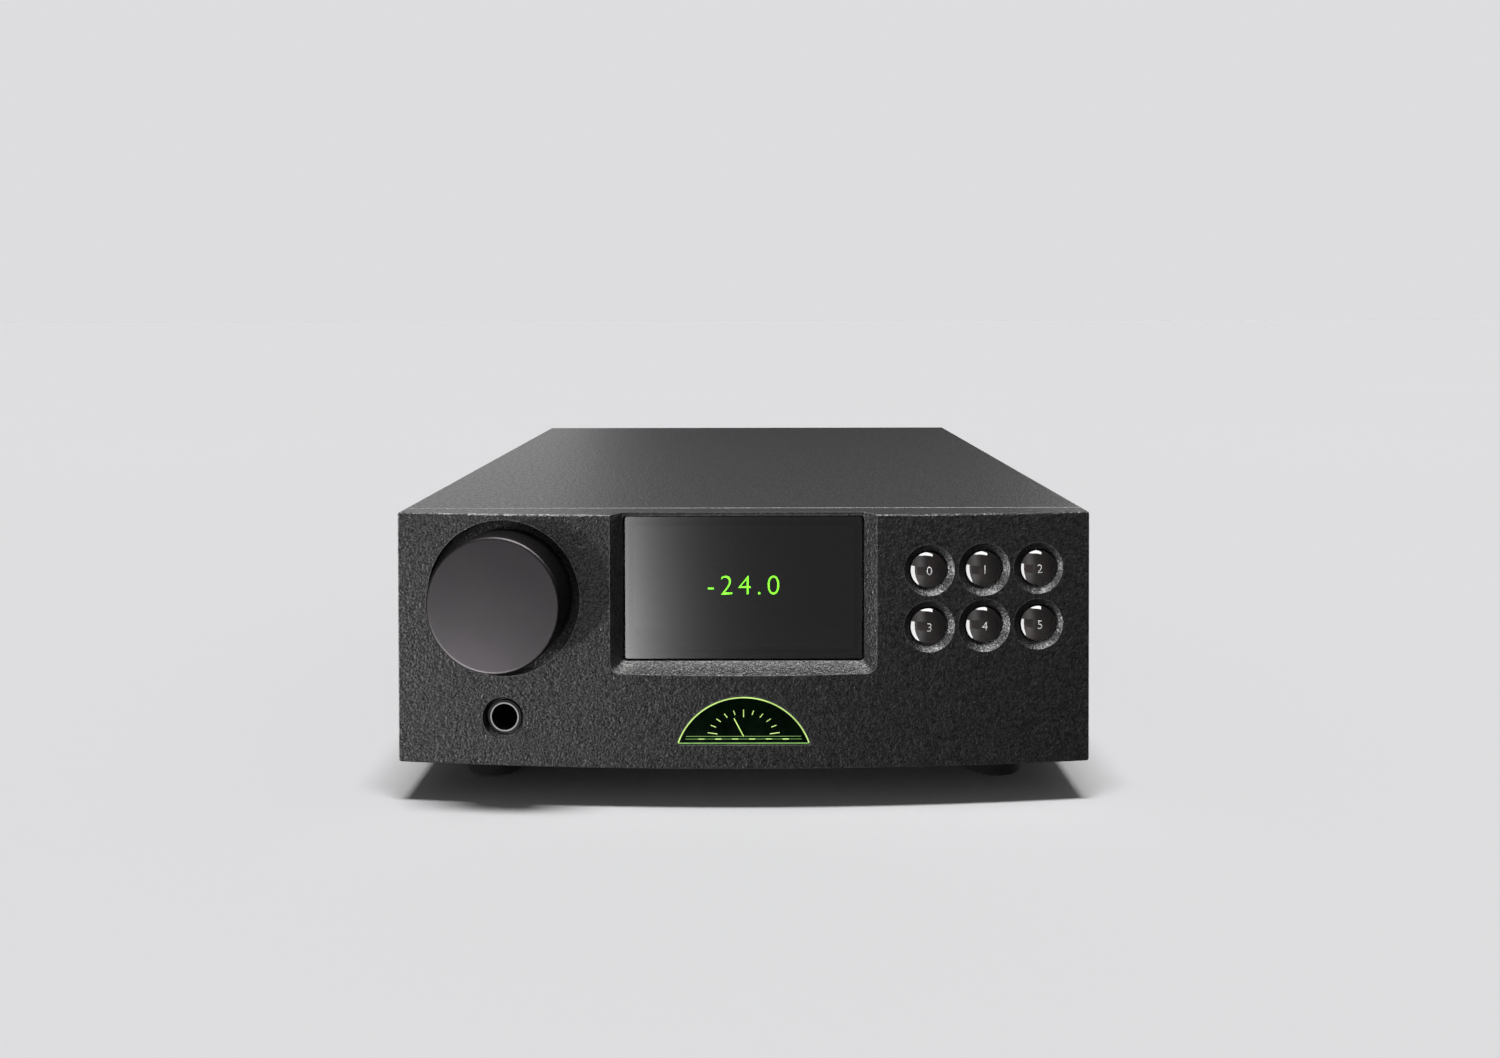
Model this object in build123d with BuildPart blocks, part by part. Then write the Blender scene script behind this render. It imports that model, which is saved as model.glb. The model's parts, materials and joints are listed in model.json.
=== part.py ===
"""Half-width desktop digital-to-analogue converter with a headphone amplifier.

Millimetres, +Z up. The curved front panel faces -Y and +X is to the right of someone facing it.
The origin is the middle of the overall box, at desk level.
"""

import os
from math import asin, cos, sin, sqrt

from build123d import *

# ---------------------------------------------------------------- driving dimensions
WIDTH = 207.0
HEIGHT = 87.0
DEPTH = 314.0  # knob edge to socket mouths
FOOT_HEIGHT = 12.0
CASE_DEPTH = 290.0  # panel corner to the sleeve's back end
SLEEVE_WALL = 3.0
SLEEVE_EDGE = 0.8  # radius along the long edges
EDGE_BREAK = 0.35  # the fine line where sleeve and fascia meet

FASCIA_BULGE = 7.0  # how far the middle stands ahead of the corners
FASCIA_SIDE = 7.7  # thickness at the corners
FASCIA_EDGE_RADIUS = 0.5

CONTROL_X = 71.4  # knob left and buttons right of the middle
CONTROL_Z = 62.0
KNOB_RADIUS = 20.0
KNOB_PROTRUSION = 10.4

RUNNING = 0.05  # radial clearance of a part that turns or slides
SNUG = 0.03  # radial clearance of a fixed part in its seat
GAP = 0.1  # clearance between flat neighbours

# ---------------------------------------------------------------- worked-out places
HALF = WIDTH / 2
CASE_BOTTOM = FOOT_HEIGHT
CASE_HEIGHT = HEIGHT - FOOT_HEIGHT
CASE_MID = CASE_BOTTOM + CASE_HEIGHT / 2
FASCIA_RADIUS = (HALF**2 + FASCIA_BULGE**2) / (2 * FASCIA_BULGE)
CONTROL_ANGLE = asin(CONTROL_X / FASCIA_RADIUS)


def fall_back(x):
    """How far the curved front stands behind its middle at x."""
    return FASCIA_RADIUS - sqrt(FASCIA_RADIUS**2 - x**2)


# The knob's rim is the foremost point, and sets where the front panel stands.
FASCIA_NOSE = (
    -DEPTH / 2
    + KNOB_PROTRUSION * cos(CONTROL_ANGLE)
    + KNOB_RADIUS * sin(CONTROL_ANGLE)
    - fall_back(CONTROL_X)
)
FASCIA_CORNER = FASCIA_NOSE + FASCIA_BULGE
SLEEVE_FRONT = FASCIA_CORNER + FASCIA_SIDE
SLEEVE_BACK = FASCIA_CORNER + CASE_DEPTH
SOCKET_END = DEPTH / 2

CENTRED = (Align.CENTER, Align.CENTER)
STANDING = (*CENTRED, Align.MIN)
HANGING = (*CENTRED, Align.MAX)


def section(y):
    """Plane across the case at depth y: x right, y up. A negative extrusion runs to the back."""
    return Plane.XZ.offset(-y)


def on_front(x, z):
    """Plane that touches the curved front at x, z: x along the curve, y up, z out of the panel."""
    angle = asin(x / FASCIA_RADIUS)
    return Plane(
        origin=(x, FASCIA_NOSE + fall_back(x), z),
        x_dir=(cos(angle), sin(angle), 0),
        z_dir=(sin(angle), -cos(angle), 0),
    )


def on_back(x, y, z):
    """Plane at depth y that faces the back: z out of the back panel, y up."""
    return Plane(origin=(x, y, z), x_dir=(-1, 0, 0), z_dir=(0, 1, 0))


def reversed_place(place):
    """The place turned round, so that its z axis points into the case."""
    return Plane(place.origin, x_dir=-place.x_dir, z_dir=-place.z_dir)


def half_section(place):
    """Half-section plane of a turned part: x is the radius, y runs along the place's z axis."""
    return Plane(origin=place.origin, x_dir=place.x_dir, z_dir=-place.y_dir)


def axis_of(place):
    """The line a turned part turns about."""
    return Axis(place.origin, place.z_dir)


def moved(place, x=0.0, y=0.0, z=0.0):
    """The place shifted along its own axes."""
    return Plane(place.from_local_coords(Vector(x, y, z)), x_dir=place.x_dir, z_dir=place.z_dir)


# ---------------------------------------------------------------- feet and their screws
FOOT_PLACES = [(x, y) for x in (-80.0, 80.0) for y in (-112.0, 124.0)]
FOOT_SEAT = 6.0  # height of the screw head's seat inside the foot
FOOT_SCREW_RADIUS = 2.0
FOOT_SCREW_LENGTH = 15.0

with BuildPart() as rubber_feet:
    with Locations(*[(x, y, 0) for x, y in FOOT_PLACES]):
        Cone(9.0, 10.5, FOOT_HEIGHT, align=STANDING)
    fillet(rubber_feet.edges().group_by(Axis.Z)[0], 1.0)
    with Locations(*[Location((x, y, 0), (180, 0, 0)) for x, y in FOOT_PLACES]):
        CounterBoreHole(FOOT_SCREW_RADIUS + 0.2, 4.5, FOOT_SEAT, FOOT_HEIGHT)

with BuildPart() as foot_screws:
    with Locations(*[(x, y, FOOT_SEAT) for x, y in FOOT_PLACES]):
        Cylinder(FOOT_SCREW_RADIUS, FOOT_SCREW_LENGTH, align=STANDING)
        Cylinder(3.8, 1.4, align=HANGING)
    with Locations(*[(x, y, FOOT_SEAT - 1.4) for x, y in FOOT_PLACES]):
        Cone(3.0, 3.8, 1.0, align=HANGING)
    with BuildSketch(Plane.XY.offset(FOOT_SEAT - 2.4)):
        with Locations(*FOOT_PLACES):
            RegularPolygon(1.6, 6)
    extrude(amount=1.6, mode=Mode.SUBTRACT)

# ---------------------------------------------------------------- extruded sleeve
with BuildPart() as sleeve:
    with BuildSketch(section(SLEEVE_FRONT)):
        with Locations((0, CASE_MID)):
            RectangleRounded(WIDTH, CASE_HEIGHT, SLEEVE_EDGE)
            Rectangle(WIDTH - 2 * SLEEVE_WALL, CASE_HEIGHT - 2 * SLEEVE_WALL, mode=Mode.SUBTRACT)
    extrude(amount=-(SLEEVE_BACK - SLEEVE_FRONT))
    for end_face in (sleeve.faces().sort_by(Axis.Y)[0], sleeve.faces().sort_by(Axis.Y)[-1]):
        chamfer(end_face.outer_wire().edges(), EDGE_BREAK)
    with Locations(*[(x, y, CASE_BOTTOM + SLEEVE_WALL) for x, y in FOOT_PLACES]):
        Hole(FOOT_SCREW_RADIUS + 0.2, SLEEVE_WALL)

# ---------------------------------------------------------------- control and window places
KNOB_PLACE = on_front(-CONTROL_X, CONTROL_Z)
JACK_PLACE = on_front(-CONTROL_X, 26.2)
BUTTON_FIELD = on_front(CONTROL_X, CONTROL_Z)

RECESS_RADIUS = 23.2
RECESS_DEPTH = 4.0
RECESS_FLOOR = 3.0  # metal left behind the recess, where the encoder bush is clamped
ENCODER_SEAT = -(RECESS_DEPTH + RECESS_FLOOR)

BUTTON_PITCH = 16.7
BUTTON_PLACES = [
    moved(BUTTON_FIELD, (column - 1) * BUTTON_PITCH, (0.5 - row) * BUTTON_PITCH)
    for row in range(2)
    for column in range(3)
]
BUTTON_RADIUS = 5.25
BUTTON_HOLE = 5.6
DISH_RADIUS = 7.85
DISH_DEPTH = 1.8
DISH_RISE = 0.4  # how far the cutting cones stand proud of the curved front
BUTTON_WALL = 4.0  # depth from the front to the back of the button wall

JACK_BORE = 3.25  # for a 6.35 mm plug
JACK_BUSH_RADIUS = 4.45
JACK_HOLE = 5.1
JACK_DISH = 6.5  # mouth of the steep dish round the socket
JACK_DISH_FOOT = 5.4
JACK_DISH_DEPTH = 2.4

WINDOW_HALF = 36.1
WINDOW_SILL = 42.4
WINDOW_ROOF = HEIGHT - 1.0
SIDE_SLOPE = 0.62  # how far each bevel spreads for each millimetre it comes forward
SILL_SLOPE = 0.43
PANE_FRONT = FASCIA_CORNER - 0.7
PANE_THICKNESS = 2.0
GASKET_THICKNESS = 0.4
GASKET_FRAME = 3.0
PANE_GAP = 0.55  # dark line round the pane
LEDGE = PANE_FRONT + PANE_THICKNESS + GASKET_THICKNESS
LEDGE_THICKNESS = 2.2
APERTURE = (66.0, 37.0)
APERTURE_Z = (WINDOW_SILL + WINDOW_ROOF) / 2

BADGE_CHORD = 39.2
BADGE_RISE = 14.2
BADGE_BASE = 19.35
BADGE_WALL = 4.0

BUTTON_POSTS = [moved(BUTTON_FIELD, x * BUTTON_PITCH / 2) for x in (-1, 1)]
BOARD = 1.6  # thickness of every circuit board
SWITCH_TOP = -6.7
SWITCH_HEIGHT = 3.5
BUTTON_BOARD = SWITCH_TOP - SWITCH_HEIGHT  # front of the button board, below the curved front
DISPLAY_BOARD_FRONT = SLEEVE_FRONT + 1.0
DISPLAY_POSTS = [(x, z) for x in (-40.6, 40.6) for z in (43.0, 79.0)]
LIGHT_POSTS = [(x, 27.0) for x in (-27.0, 27.0)]

SUBFRAME_FRONT = -126.0  # the tray's upright front plate, which the fascia bosses reach
SHEET = 2.0
FASCIA_BOSSES = [(-95.0, 22.0), (95.0, 22.0), (-97.0, 80.0), (97.0, 80.0)]
SCREW_RADIUS = 1.5  # M3
SCREW_LENGTH = 6.0


def badge_outline(grow=0.0):
    """Low half-round outline on its base line, grown outwards by grow."""
    half, base = BADGE_CHORD / 2 + grow, BADGE_BASE - grow
    with BuildSketch() as outline:
        with BuildLine():
            ThreePointArc((-half, base), (0, BADGE_BASE + BADGE_RISE + grow), (half, base))
            Line((-half, base), (half, base))
        make_face()
    return outline.sketch


# ---------------------------------------------------------------- cast front panel
with BuildPart() as fascia:
    with BuildSketch(Plane.XY.offset(CASE_BOTTOM)):
        with BuildLine():
            ThreePointArc((-HALF, FASCIA_CORNER), (0, FASCIA_NOSE), (HALF, FASCIA_CORNER))
            Polyline(
                (-HALF, FASCIA_CORNER),
                (-HALF, SLEEVE_FRONT),
                (HALF, SLEEVE_FRONT),
                (HALF, FASCIA_CORNER),
            )
        make_face()
    extrude(amount=CASE_HEIGHT)
    fillet(fascia.edges().filter_by(Axis.Y), SLEEVE_EDGE)
    fillet(fascia.faces().sort_by(Axis.Y)[0].edges(), FASCIA_EDGE_RADIUS)
    chamfer(fascia.faces().sort_by(Axis.Y)[-1].edges(), EDGE_BREAK)

    # window recess: bevelled left, right and below, open at the top
    BEVEL_RUN = PANE_FRONT - FASCIA_NOSE + 1.0
    OPEN_TOP = HEIGHT + 5.0
    for spread, drop, corner in (
        (0.0, 0.0, 1.0),
        (BEVEL_RUN * SIDE_SLOPE, BEVEL_RUN * SILL_SLOPE, 3.8),
    ):
        with BuildSketch(section(PANE_FRONT - (BEVEL_RUN if spread else 0.0))):
            sill = WINDOW_SILL - drop
            with Locations((0, (sill + OPEN_TOP) / 2)):
                RectangleRounded(2 * (WINDOW_HALF + spread), OPEN_TOP - sill, corner)
    loft(ruled=True, mode=Mode.SUBTRACT)
    with BuildSketch(section(LEDGE)):
        with Locations((0, APERTURE_Z)):
            RectangleRounded(2 * WINDOW_HALF, WINDOW_ROOF - WINDOW_SILL, 1.0)
    extrude(amount=LEDGE - PANE_FRONT, mode=Mode.SUBTRACT)
    with BuildSketch(section(LEDGE)):
        with Locations((0, APERTURE_Z)):
            RectangleRounded(*APERTURE, 1.0)
    extrude(amount=-LEDGE_THICKNESS, mode=Mode.SUBTRACT)
    with BuildSketch(section(LEDGE + LEDGE_THICKNESS)):
        with Locations((0, APERTURE_Z - 1.0)):
            RectangleRounded(76.0, 41.0, 2.0)
    extrude(amount=-20.0, mode=Mode.SUBTRACT)

    # knob recess, encoder hole and encoder pocket
    with BuildSketch(moved(KNOB_PLACE, z=-RECESS_DEPTH)):
        Circle(RECESS_RADIUS)
    extrude(amount=RECESS_DEPTH + 4.0, mode=Mode.SUBTRACT)
    with BuildSketch(moved(KNOB_PLACE, z=ENCODER_SEAT)):
        Circle(3.6)
    extrude(amount=RECESS_FLOOR, mode=Mode.SUBTRACT)
    with BuildSketch(moved(KNOB_PLACE, z=ENCODER_SEAT)):
        RectangleRounded(18.0, 20.0, 2.0)
    extrude(amount=-12.0, mode=Mode.SUBTRACT)

    # headphone hole: shallow dish, hole, pocket
    with Locations(moved(JACK_PLACE, z=-JACK_DISH_DEPTH).location):
        Cone(JACK_DISH_FOOT, JACK_DISH, JACK_DISH_DEPTH + DISH_RISE, align=STANDING, mode=Mode.SUBTRACT)
        Cylinder(JACK_HOLE, 12.0, align=HANGING, mode=Mode.SUBTRACT)
    with BuildSketch(moved(JACK_PLACE, z=-6.0)):
        RectangleRounded(19.0, 13.6, 2.0)
    extrude(amount=-14.0, mode=Mode.SUBTRACT)

    # six button dishes, holes, and the pocket behind them
    dish_mouth = BUTTON_HOLE + (DISH_RADIUS - BUTTON_HOLE) * (DISH_DEPTH + DISH_RISE) / DISH_DEPTH
    with Locations(*[moved(place, z=-DISH_DEPTH).location for place in BUTTON_PLACES]):
        Cone(BUTTON_HOLE, dish_mouth, DISH_DEPTH + DISH_RISE, align=STANDING, mode=Mode.SUBTRACT)
        Cylinder(BUTTON_HOLE, BUTTON_WALL, align=HANGING, mode=Mode.SUBTRACT)
    with BuildSketch(moved(BUTTON_FIELD, z=-BUTTON_WALL)):
        RectangleRounded(49.0, 32.0, 2.5)
    extrude(amount=-14.0, mode=Mode.SUBTRACT)

    # badge opening and its pocket
    with BuildSketch(section(FASCIA_NOSE - 1.0)):
        add(badge_outline(0.12))
    extrude(amount=-(BADGE_WALL + 1.0), mode=Mode.SUBTRACT)
    with BuildSketch(section(FASCIA_NOSE + BADGE_WALL)):
        with Locations((0, BADGE_BASE + BADGE_RISE / 2)):
            RectangleRounded(46.0, 18.6, 2.0)
    extrude(amount=-20.0, mode=Mode.SUBTRACT)

    # threaded bosses: for the chassis, the display board, the button board and the badge light
    for depth, places, radius, height in (
        (SUBFRAME_FRONT, FASCIA_BOSSES, 3.0, SUBFRAME_FRONT - SLEEVE_FRONT),
        (DISPLAY_BOARD_FRONT, DISPLAY_POSTS, 2.4, DISPLAY_BOARD_FRONT - SLEEVE_FRONT),
    ):
        with BuildSketch(section(depth)):
            with Locations(*places):
                Circle(radius)
        extrude(amount=height)
    with BuildSketch(*[moved(post, z=BUTTON_BOARD) for post in BUTTON_POSTS]):
        Circle(2.6)
    extrude(amount=-BUTTON_BOARD - BUTTON_WALL)
    for depth, places in (
        (SUBFRAME_FRONT, FASCIA_BOSSES),
        (DISPLAY_BOARD_FRONT, DISPLAY_POSTS),
        (SLEEVE_FRONT, LIGHT_POSTS),
    ):
        with BuildSketch(section(depth)):
            with Locations(*places):
                Circle(SCREW_RADIUS + SNUG)
        extrude(amount=SCREW_LENGTH, mode=Mode.SUBTRACT)
    with BuildSketch(*[moved(post, z=BUTTON_BOARD) for post in BUTTON_POSTS]):
        Circle(SCREW_RADIUS + SNUG)
    extrude(amount=4.0, mode=Mode.SUBTRACT)

# ---------------------------------------------------------------- display
PANE_SIZE = (2 * (WINDOW_HALF - PANE_GAP), WINDOW_ROOF - WINDOW_SILL - PANE_GAP - 0.15)
PANE_Z = WINDOW_SILL + PANE_GAP + PANE_SIZE[1] / 2

with BuildPart() as display_window:
    with BuildSketch(section(PANE_FRONT)):
        with Locations((0, PANE_Z)):
            RectangleRounded(*PANE_SIZE, 0.9)
    extrude(amount=-PANE_THICKNESS)
    chamfer(display_window.faces().sort_by(Axis.Y)[0].edges(), 0.2)

with BuildPart() as window_gasket:
    with BuildSketch(section(PANE_FRONT + PANE_THICKNESS)):
        with Locations((0, APERTURE_Z)):
            RectangleRounded(APERTURE[0] + GASKET_FRAME, APERTURE[1] + GASKET_FRAME, 1.0)
            RectangleRounded(*APERTURE, 1.0, mode=Mode.SUBTRACT)
    extrude(amount=-GASKET_THICKNESS)

DISPLAY_FRONT = LEDGE + LEDGE_THICKNESS + GAP
with BuildPart() as display_panel:
    with BuildSketch(section(DISPLAY_FRONT)):
        with Locations((0, APERTURE_Z - 1.0)):
            RectangleRounded(74.0, 39.0, 1.0)
    extrude(amount=-3.0)
    with BuildSketch(section(DISPLAY_FRONT)):
        with Locations((0, APERTURE_Z)):
            Rectangle(62.0, 34.0)
    extrude(amount=-0.4, mode=Mode.SUBTRACT)

with BuildPart() as display_board:
    with BuildSketch(section(DISPLAY_BOARD_FRONT)):
        with Locations((0, APERTURE_Z - 3.0)):
            RectangleRounded(87.0, 44.0, 2.0)
        with Locations(*DISPLAY_POSTS):
            Circle(SCREW_RADIUS + 0.15, mode=Mode.SUBTRACT)
    extrude(amount=-BOARD)
    with BuildSketch(section(DISPLAY_BOARD_FRONT + BOARD)):  # pin header and driver chips behind it
        with Locations((26, 52)):
            Rectangle(22.0, 5.0)
        with Locations((-24, 60), (-6, 60)):
            Rectangle(9.0, 9.0)
    extrude(amount=-1.4)

# ---------------------------------------------------------------- volume knob and encoder
KNOB_BACK = -RECESS_DEPTH + 0.8
SHAFT_RADIUS = 3.0
SHAFT_TIP = 8.0
SHAFT_ROOT = ENCODER_SEAT - 3.0
BUSH_RADIUS = 3.5
HUB_START = 0.8

with BuildPart() as volume_knob:
    with BuildSketch(half_section(KNOB_PLACE)):
        with BuildLine():
            Polyline(
                (0, KNOB_PROTRUSION),
                (KNOB_RADIUS, KNOB_PROTRUSION),
                (KNOB_RADIUS, KNOB_BACK),
                (KNOB_RADIUS - 3.0, KNOB_BACK),
                (KNOB_RADIUS - 3.0, 6.4),
                (6.5, 6.4),
                (6.5, HUB_START),
                (SHAFT_RADIUS + SNUG, HUB_START),
                (SHAFT_RADIUS + SNUG, SHAFT_TIP + GAP),
                (0, SHAFT_TIP + GAP),
                close=True,
            )
        make_face()
    revolve(axis=axis_of(KNOB_PLACE))
    fillet(volume_knob.edges().filter_by(GeomType.CIRCLE).sort_by(Axis.Y)[0], 0.9)
    with Locations(moved(KNOB_PLACE, z=3.6).location * Location((0, 0, 0), (90, 0, 0))):
        Cylinder(1.25 + SNUG, KNOB_RADIUS + 2.0, align=STANDING, mode=Mode.SUBTRACT)

with BuildPart() as knob_set_screw:  # grub screw through the hub, onto the shaft's flat
    with Locations(
        moved(KNOB_PLACE, y=-(SHAFT_RADIUS - 0.5), z=3.6).location * Location((0, 0, 0), (90, 0, 0))
    ):
        Cylinder(1.25, 4.4, align=STANDING)
    with Locations(
        moved(KNOB_PLACE, y=-(SHAFT_RADIUS - 0.5) - 4.4, z=3.6).location
        * Location((0, 0, 0), (90, 0, 0))
    ):
        Cylinder(0.65, 1.6, align=HANGING, mode=Mode.SUBTRACT)

with BuildPart() as encoder_shaft:
    with Locations(moved(KNOB_PLACE, z=SHAFT_ROOT).location):
        Cylinder(SHAFT_RADIUS, SHAFT_TIP - SHAFT_ROOT, align=STANDING)
    with BuildSketch(moved(KNOB_PLACE, z=HUB_START)):
        with Locations((0, -SHAFT_RADIUS)):
            Rectangle(2 * SHAFT_RADIUS, 1.0)
    extrude(amount=SHAFT_TIP - HUB_START, mode=Mode.SUBTRACT)

with BuildPart() as encoder_body:
    with BuildSketch(moved(KNOB_PLACE, z=ENCODER_SEAT)):
        RectangleRounded(12.6, 13.4, 0.6)
    extrude(amount=-6.5)
    with Locations(moved(KNOB_PLACE, z=ENCODER_SEAT).location):
        Cylinder(BUSH_RADIUS, 6.4, align=STANDING)
    with Locations(moved(KNOB_PLACE, z=SHAFT_ROOT - GAP).location):
        Cylinder(SHAFT_RADIUS + RUNNING, 12.0, align=STANDING, mode=Mode.SUBTRACT)
    with BuildSketch(moved(KNOB_PLACE, z=ENCODER_SEAT - 6.5)):  # five solder tags
        with GridLocations(2.5, 10.0, 3, 1):
            Rectangle(1.0, 0.5)
        with GridLocations(5.0, 9.0, 2, 2):
            Rectangle(1.0, 0.5)
    extrude(amount=-3.5)

with BuildPart() as encoder_nut:
    with BuildSketch(moved(KNOB_PLACE, z=-RECESS_DEPTH)):
        RegularPolygon(5.5, 6, major_radius=False)
        Circle(BUSH_RADIUS + SNUG, mode=Mode.SUBTRACT)
    extrude(amount=2.0)

# ---------------------------------------------------------------- six selector buttons
FLANGE_TOP = -BUTTON_WALL - GAP
DOME_EDGE = -0.9
DOME_TOP = 0.9
STEM_RADIUS = 2.0
STEM_TIP = -8.4

buttons = {}
for number, place in enumerate(BUTTON_PLACES):
    with BuildPart() as source_button:
        with BuildSketch(half_section(place)):
            with BuildLine():
                Polyline(
                    (0, DOME_TOP),
                    (0, STEM_TIP),
                    (STEM_RADIUS, STEM_TIP),
                    (STEM_RADIUS, FLANGE_TOP - 0.9),
                    (6.3, FLANGE_TOP - 0.9),
                    (6.3, FLANGE_TOP),
                    (BUTTON_RADIUS, FLANGE_TOP),
                    (BUTTON_RADIUS, DOME_EDGE),
                )
                TangentArc((0, DOME_TOP), (BUTTON_RADIUS, DOME_EDGE), tangent=(1, 0))
            make_face()
        revolve(axis=axis_of(place))
    buttons[f"source_button_{number}"] = source_button

with BuildPart() as switch_housings:
    with BuildSketch(*[moved(place, z=SWITCH_TOP) for place in BUTTON_PLACES]):
        RectangleRounded(7.6, 7.6, 0.6)
    extrude(amount=-SWITCH_HEIGHT)
    with Locations(*[moved(place, z=SWITCH_TOP).location for place in BUTTON_PLACES]):
        Cylinder(STEM_RADIUS + RUNNING, SWITCH_HEIGHT - 0.5, align=HANGING, mode=Mode.SUBTRACT)

BUTTON_HEADER_Y = 9.0
with BuildPart() as button_board:
    with BuildSketch(moved(BUTTON_FIELD, z=BUTTON_BOARD)):
        RectangleRounded(47.0, 30.0, 2.0)
        with GridLocations(BUTTON_PITCH, 1.0, 2, 1):
            Circle(SCREW_RADIUS + 0.15, mode=Mode.SUBTRACT)
    extrude(amount=-BOARD)
    with BuildSketch(moved(BUTTON_FIELD, y=BUTTON_HEADER_Y, z=BUTTON_BOARD - BOARD)):  # cable header
        Rectangle(18.0, 5.0)
    extrude(amount=-1.4)

# ---------------------------------------------------------------- headphone socket
JACK_DEPTH = 34.0
JACK_SHOULDER = -6.4
JACK_BODY_HALF = 6.4
JACK_FACE = -1.6
BUSH_LIP = 0.5  # width of the bright lip round the mouth
BUSH_LIP_RISE = 0.2
BUSH_CHAMFER = 0.1
BUSH_LEAD = 2.3  # depth of the lead-in behind the lip
with BuildPart() as jack_bush:
    with BuildSketch(half_section(JACK_PLACE)):
        with BuildLine():
            Polyline(
                (JACK_BUSH_RADIUS - BUSH_LIP, JACK_FACE + BUSH_LIP_RISE),
                (JACK_BUSH_RADIUS - BUSH_CHAMFER, JACK_FACE + BUSH_LIP_RISE),
                (JACK_BUSH_RADIUS, JACK_FACE + BUSH_LIP_RISE - BUSH_CHAMFER),
                (JACK_BUSH_RADIUS, JACK_SHOULDER),
                (JACK_BORE, JACK_SHOULDER),
                (JACK_BORE, JACK_FACE - BUSH_LEAD),
                close=True,
            )
        make_face()
    revolve(axis=axis_of(JACK_PLACE))

with BuildPart() as headphone_jack:
    with BuildSketch(moved(JACK_PLACE, z=JACK_SHOULDER)):
        RectangleRounded(16.0, 2 * JACK_BODY_HALF, 1.0)
    extrude(amount=-(JACK_DEPTH + JACK_SHOULDER))
    with Locations(moved(JACK_PLACE, z=JACK_SHOULDER).location):
        Cylinder(JACK_HOLE - GAP, JACK_FACE - JACK_SHOULDER, align=STANDING)
        Cylinder(JACK_BUSH_RADIUS + SNUG, JACK_FACE - JACK_SHOULDER, align=STANDING, mode=Mode.SUBTRACT)
        Cylinder(JACK_BORE, JACK_DEPTH + JACK_SHOULDER - 1.5, align=HANGING, mode=Mode.SUBTRACT)

HEADPHONE_BOARD_Z = JACK_PLACE.origin.Z + JACK_BODY_HALF
HEADPHONE_PILLARS = [(-90.0, -115.0), (-53.5, -115.0)]
with BuildPart() as headphone_board:
    with BuildSketch(Plane.XY.offset(HEADPHONE_BOARD_Z)):
        with Locations((-71.5, -114.5)):
            RectangleRounded(43.0, 18.0, 1.5)
        with Locations(*HEADPHONE_PILLARS):
            Circle(SCREW_RADIUS + 0.15, mode=Mode.SUBTRACT)
    extrude(amount=BOARD)

# ---------------------------------------------------------------- badge lens and its light
LENS_FRONT = FASCIA_NOSE + 0.25
with BuildPart() as badge_lens:
    with BuildSketch(section(LENS_FRONT)):
        add(badge_outline())
    extrude(amount=-(BADGE_WALL - 0.25 + GAP))
    with BuildSketch(section(FASCIA_NOSE + BADGE_WALL + GAP)):
        add(badge_outline(1.6))
    extrude(amount=-1.5)

with BuildPart() as badge_light:
    with BuildSketch(section(SLEEVE_FRONT)):
        with Locations((0, LIGHT_POSTS[0][1])):
            RectangleRounded(62.0, 17.0, 2.0)
        with Locations(*LIGHT_POSTS):
            Circle(SCREW_RADIUS + 0.15, mode=Mode.SUBTRACT)
    extrude(amount=-BOARD)
    with BuildSketch(section(SLEEVE_FRONT)):  # row of lamps shining into the lens
        with Locations((0, LIGHT_POSTS[0][1] - 1.0)):
            with GridLocations(7.0, 1.0, 5, 1):
                Rectangle(3.0, 2.8)
    extrude(amount=1.2)

# ---------------------------------------------------------------- chassis tray
TRAY_BOTTOM = CASE_BOTTOM + SLEEVE_WALL + GAP
TRAY_TOP = TRAY_BOTTOM + SHEET
TRAY_HALF = HALF - SLEEVE_WALL - 0.6
PANEL_THICKNESS = 2.0
PANEL_FACE = SLEEVE_BACK - 1.0
PANEL_INNER = PANEL_FACE - PANEL_THICKNESS
LOW_PANEL_SCREWS = [(-56.0, 19.3), (8.0, 19.3), (92.0, 19.3)]
HIGH_PANEL_SCREWS = [(-96.0, 78.5), (96.0, 78.5)]

TRANSFORMER_X = -45.0
TRANSFORMER_Y = -57.0
TRANSFORMER_OUTER = 47.5
TRANSFORMER_INNER = 15.0
TRANSFORMER_HEIGHT = 44.0
PAD = 1.5
BOLT_RADIUS = 3.0

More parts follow.
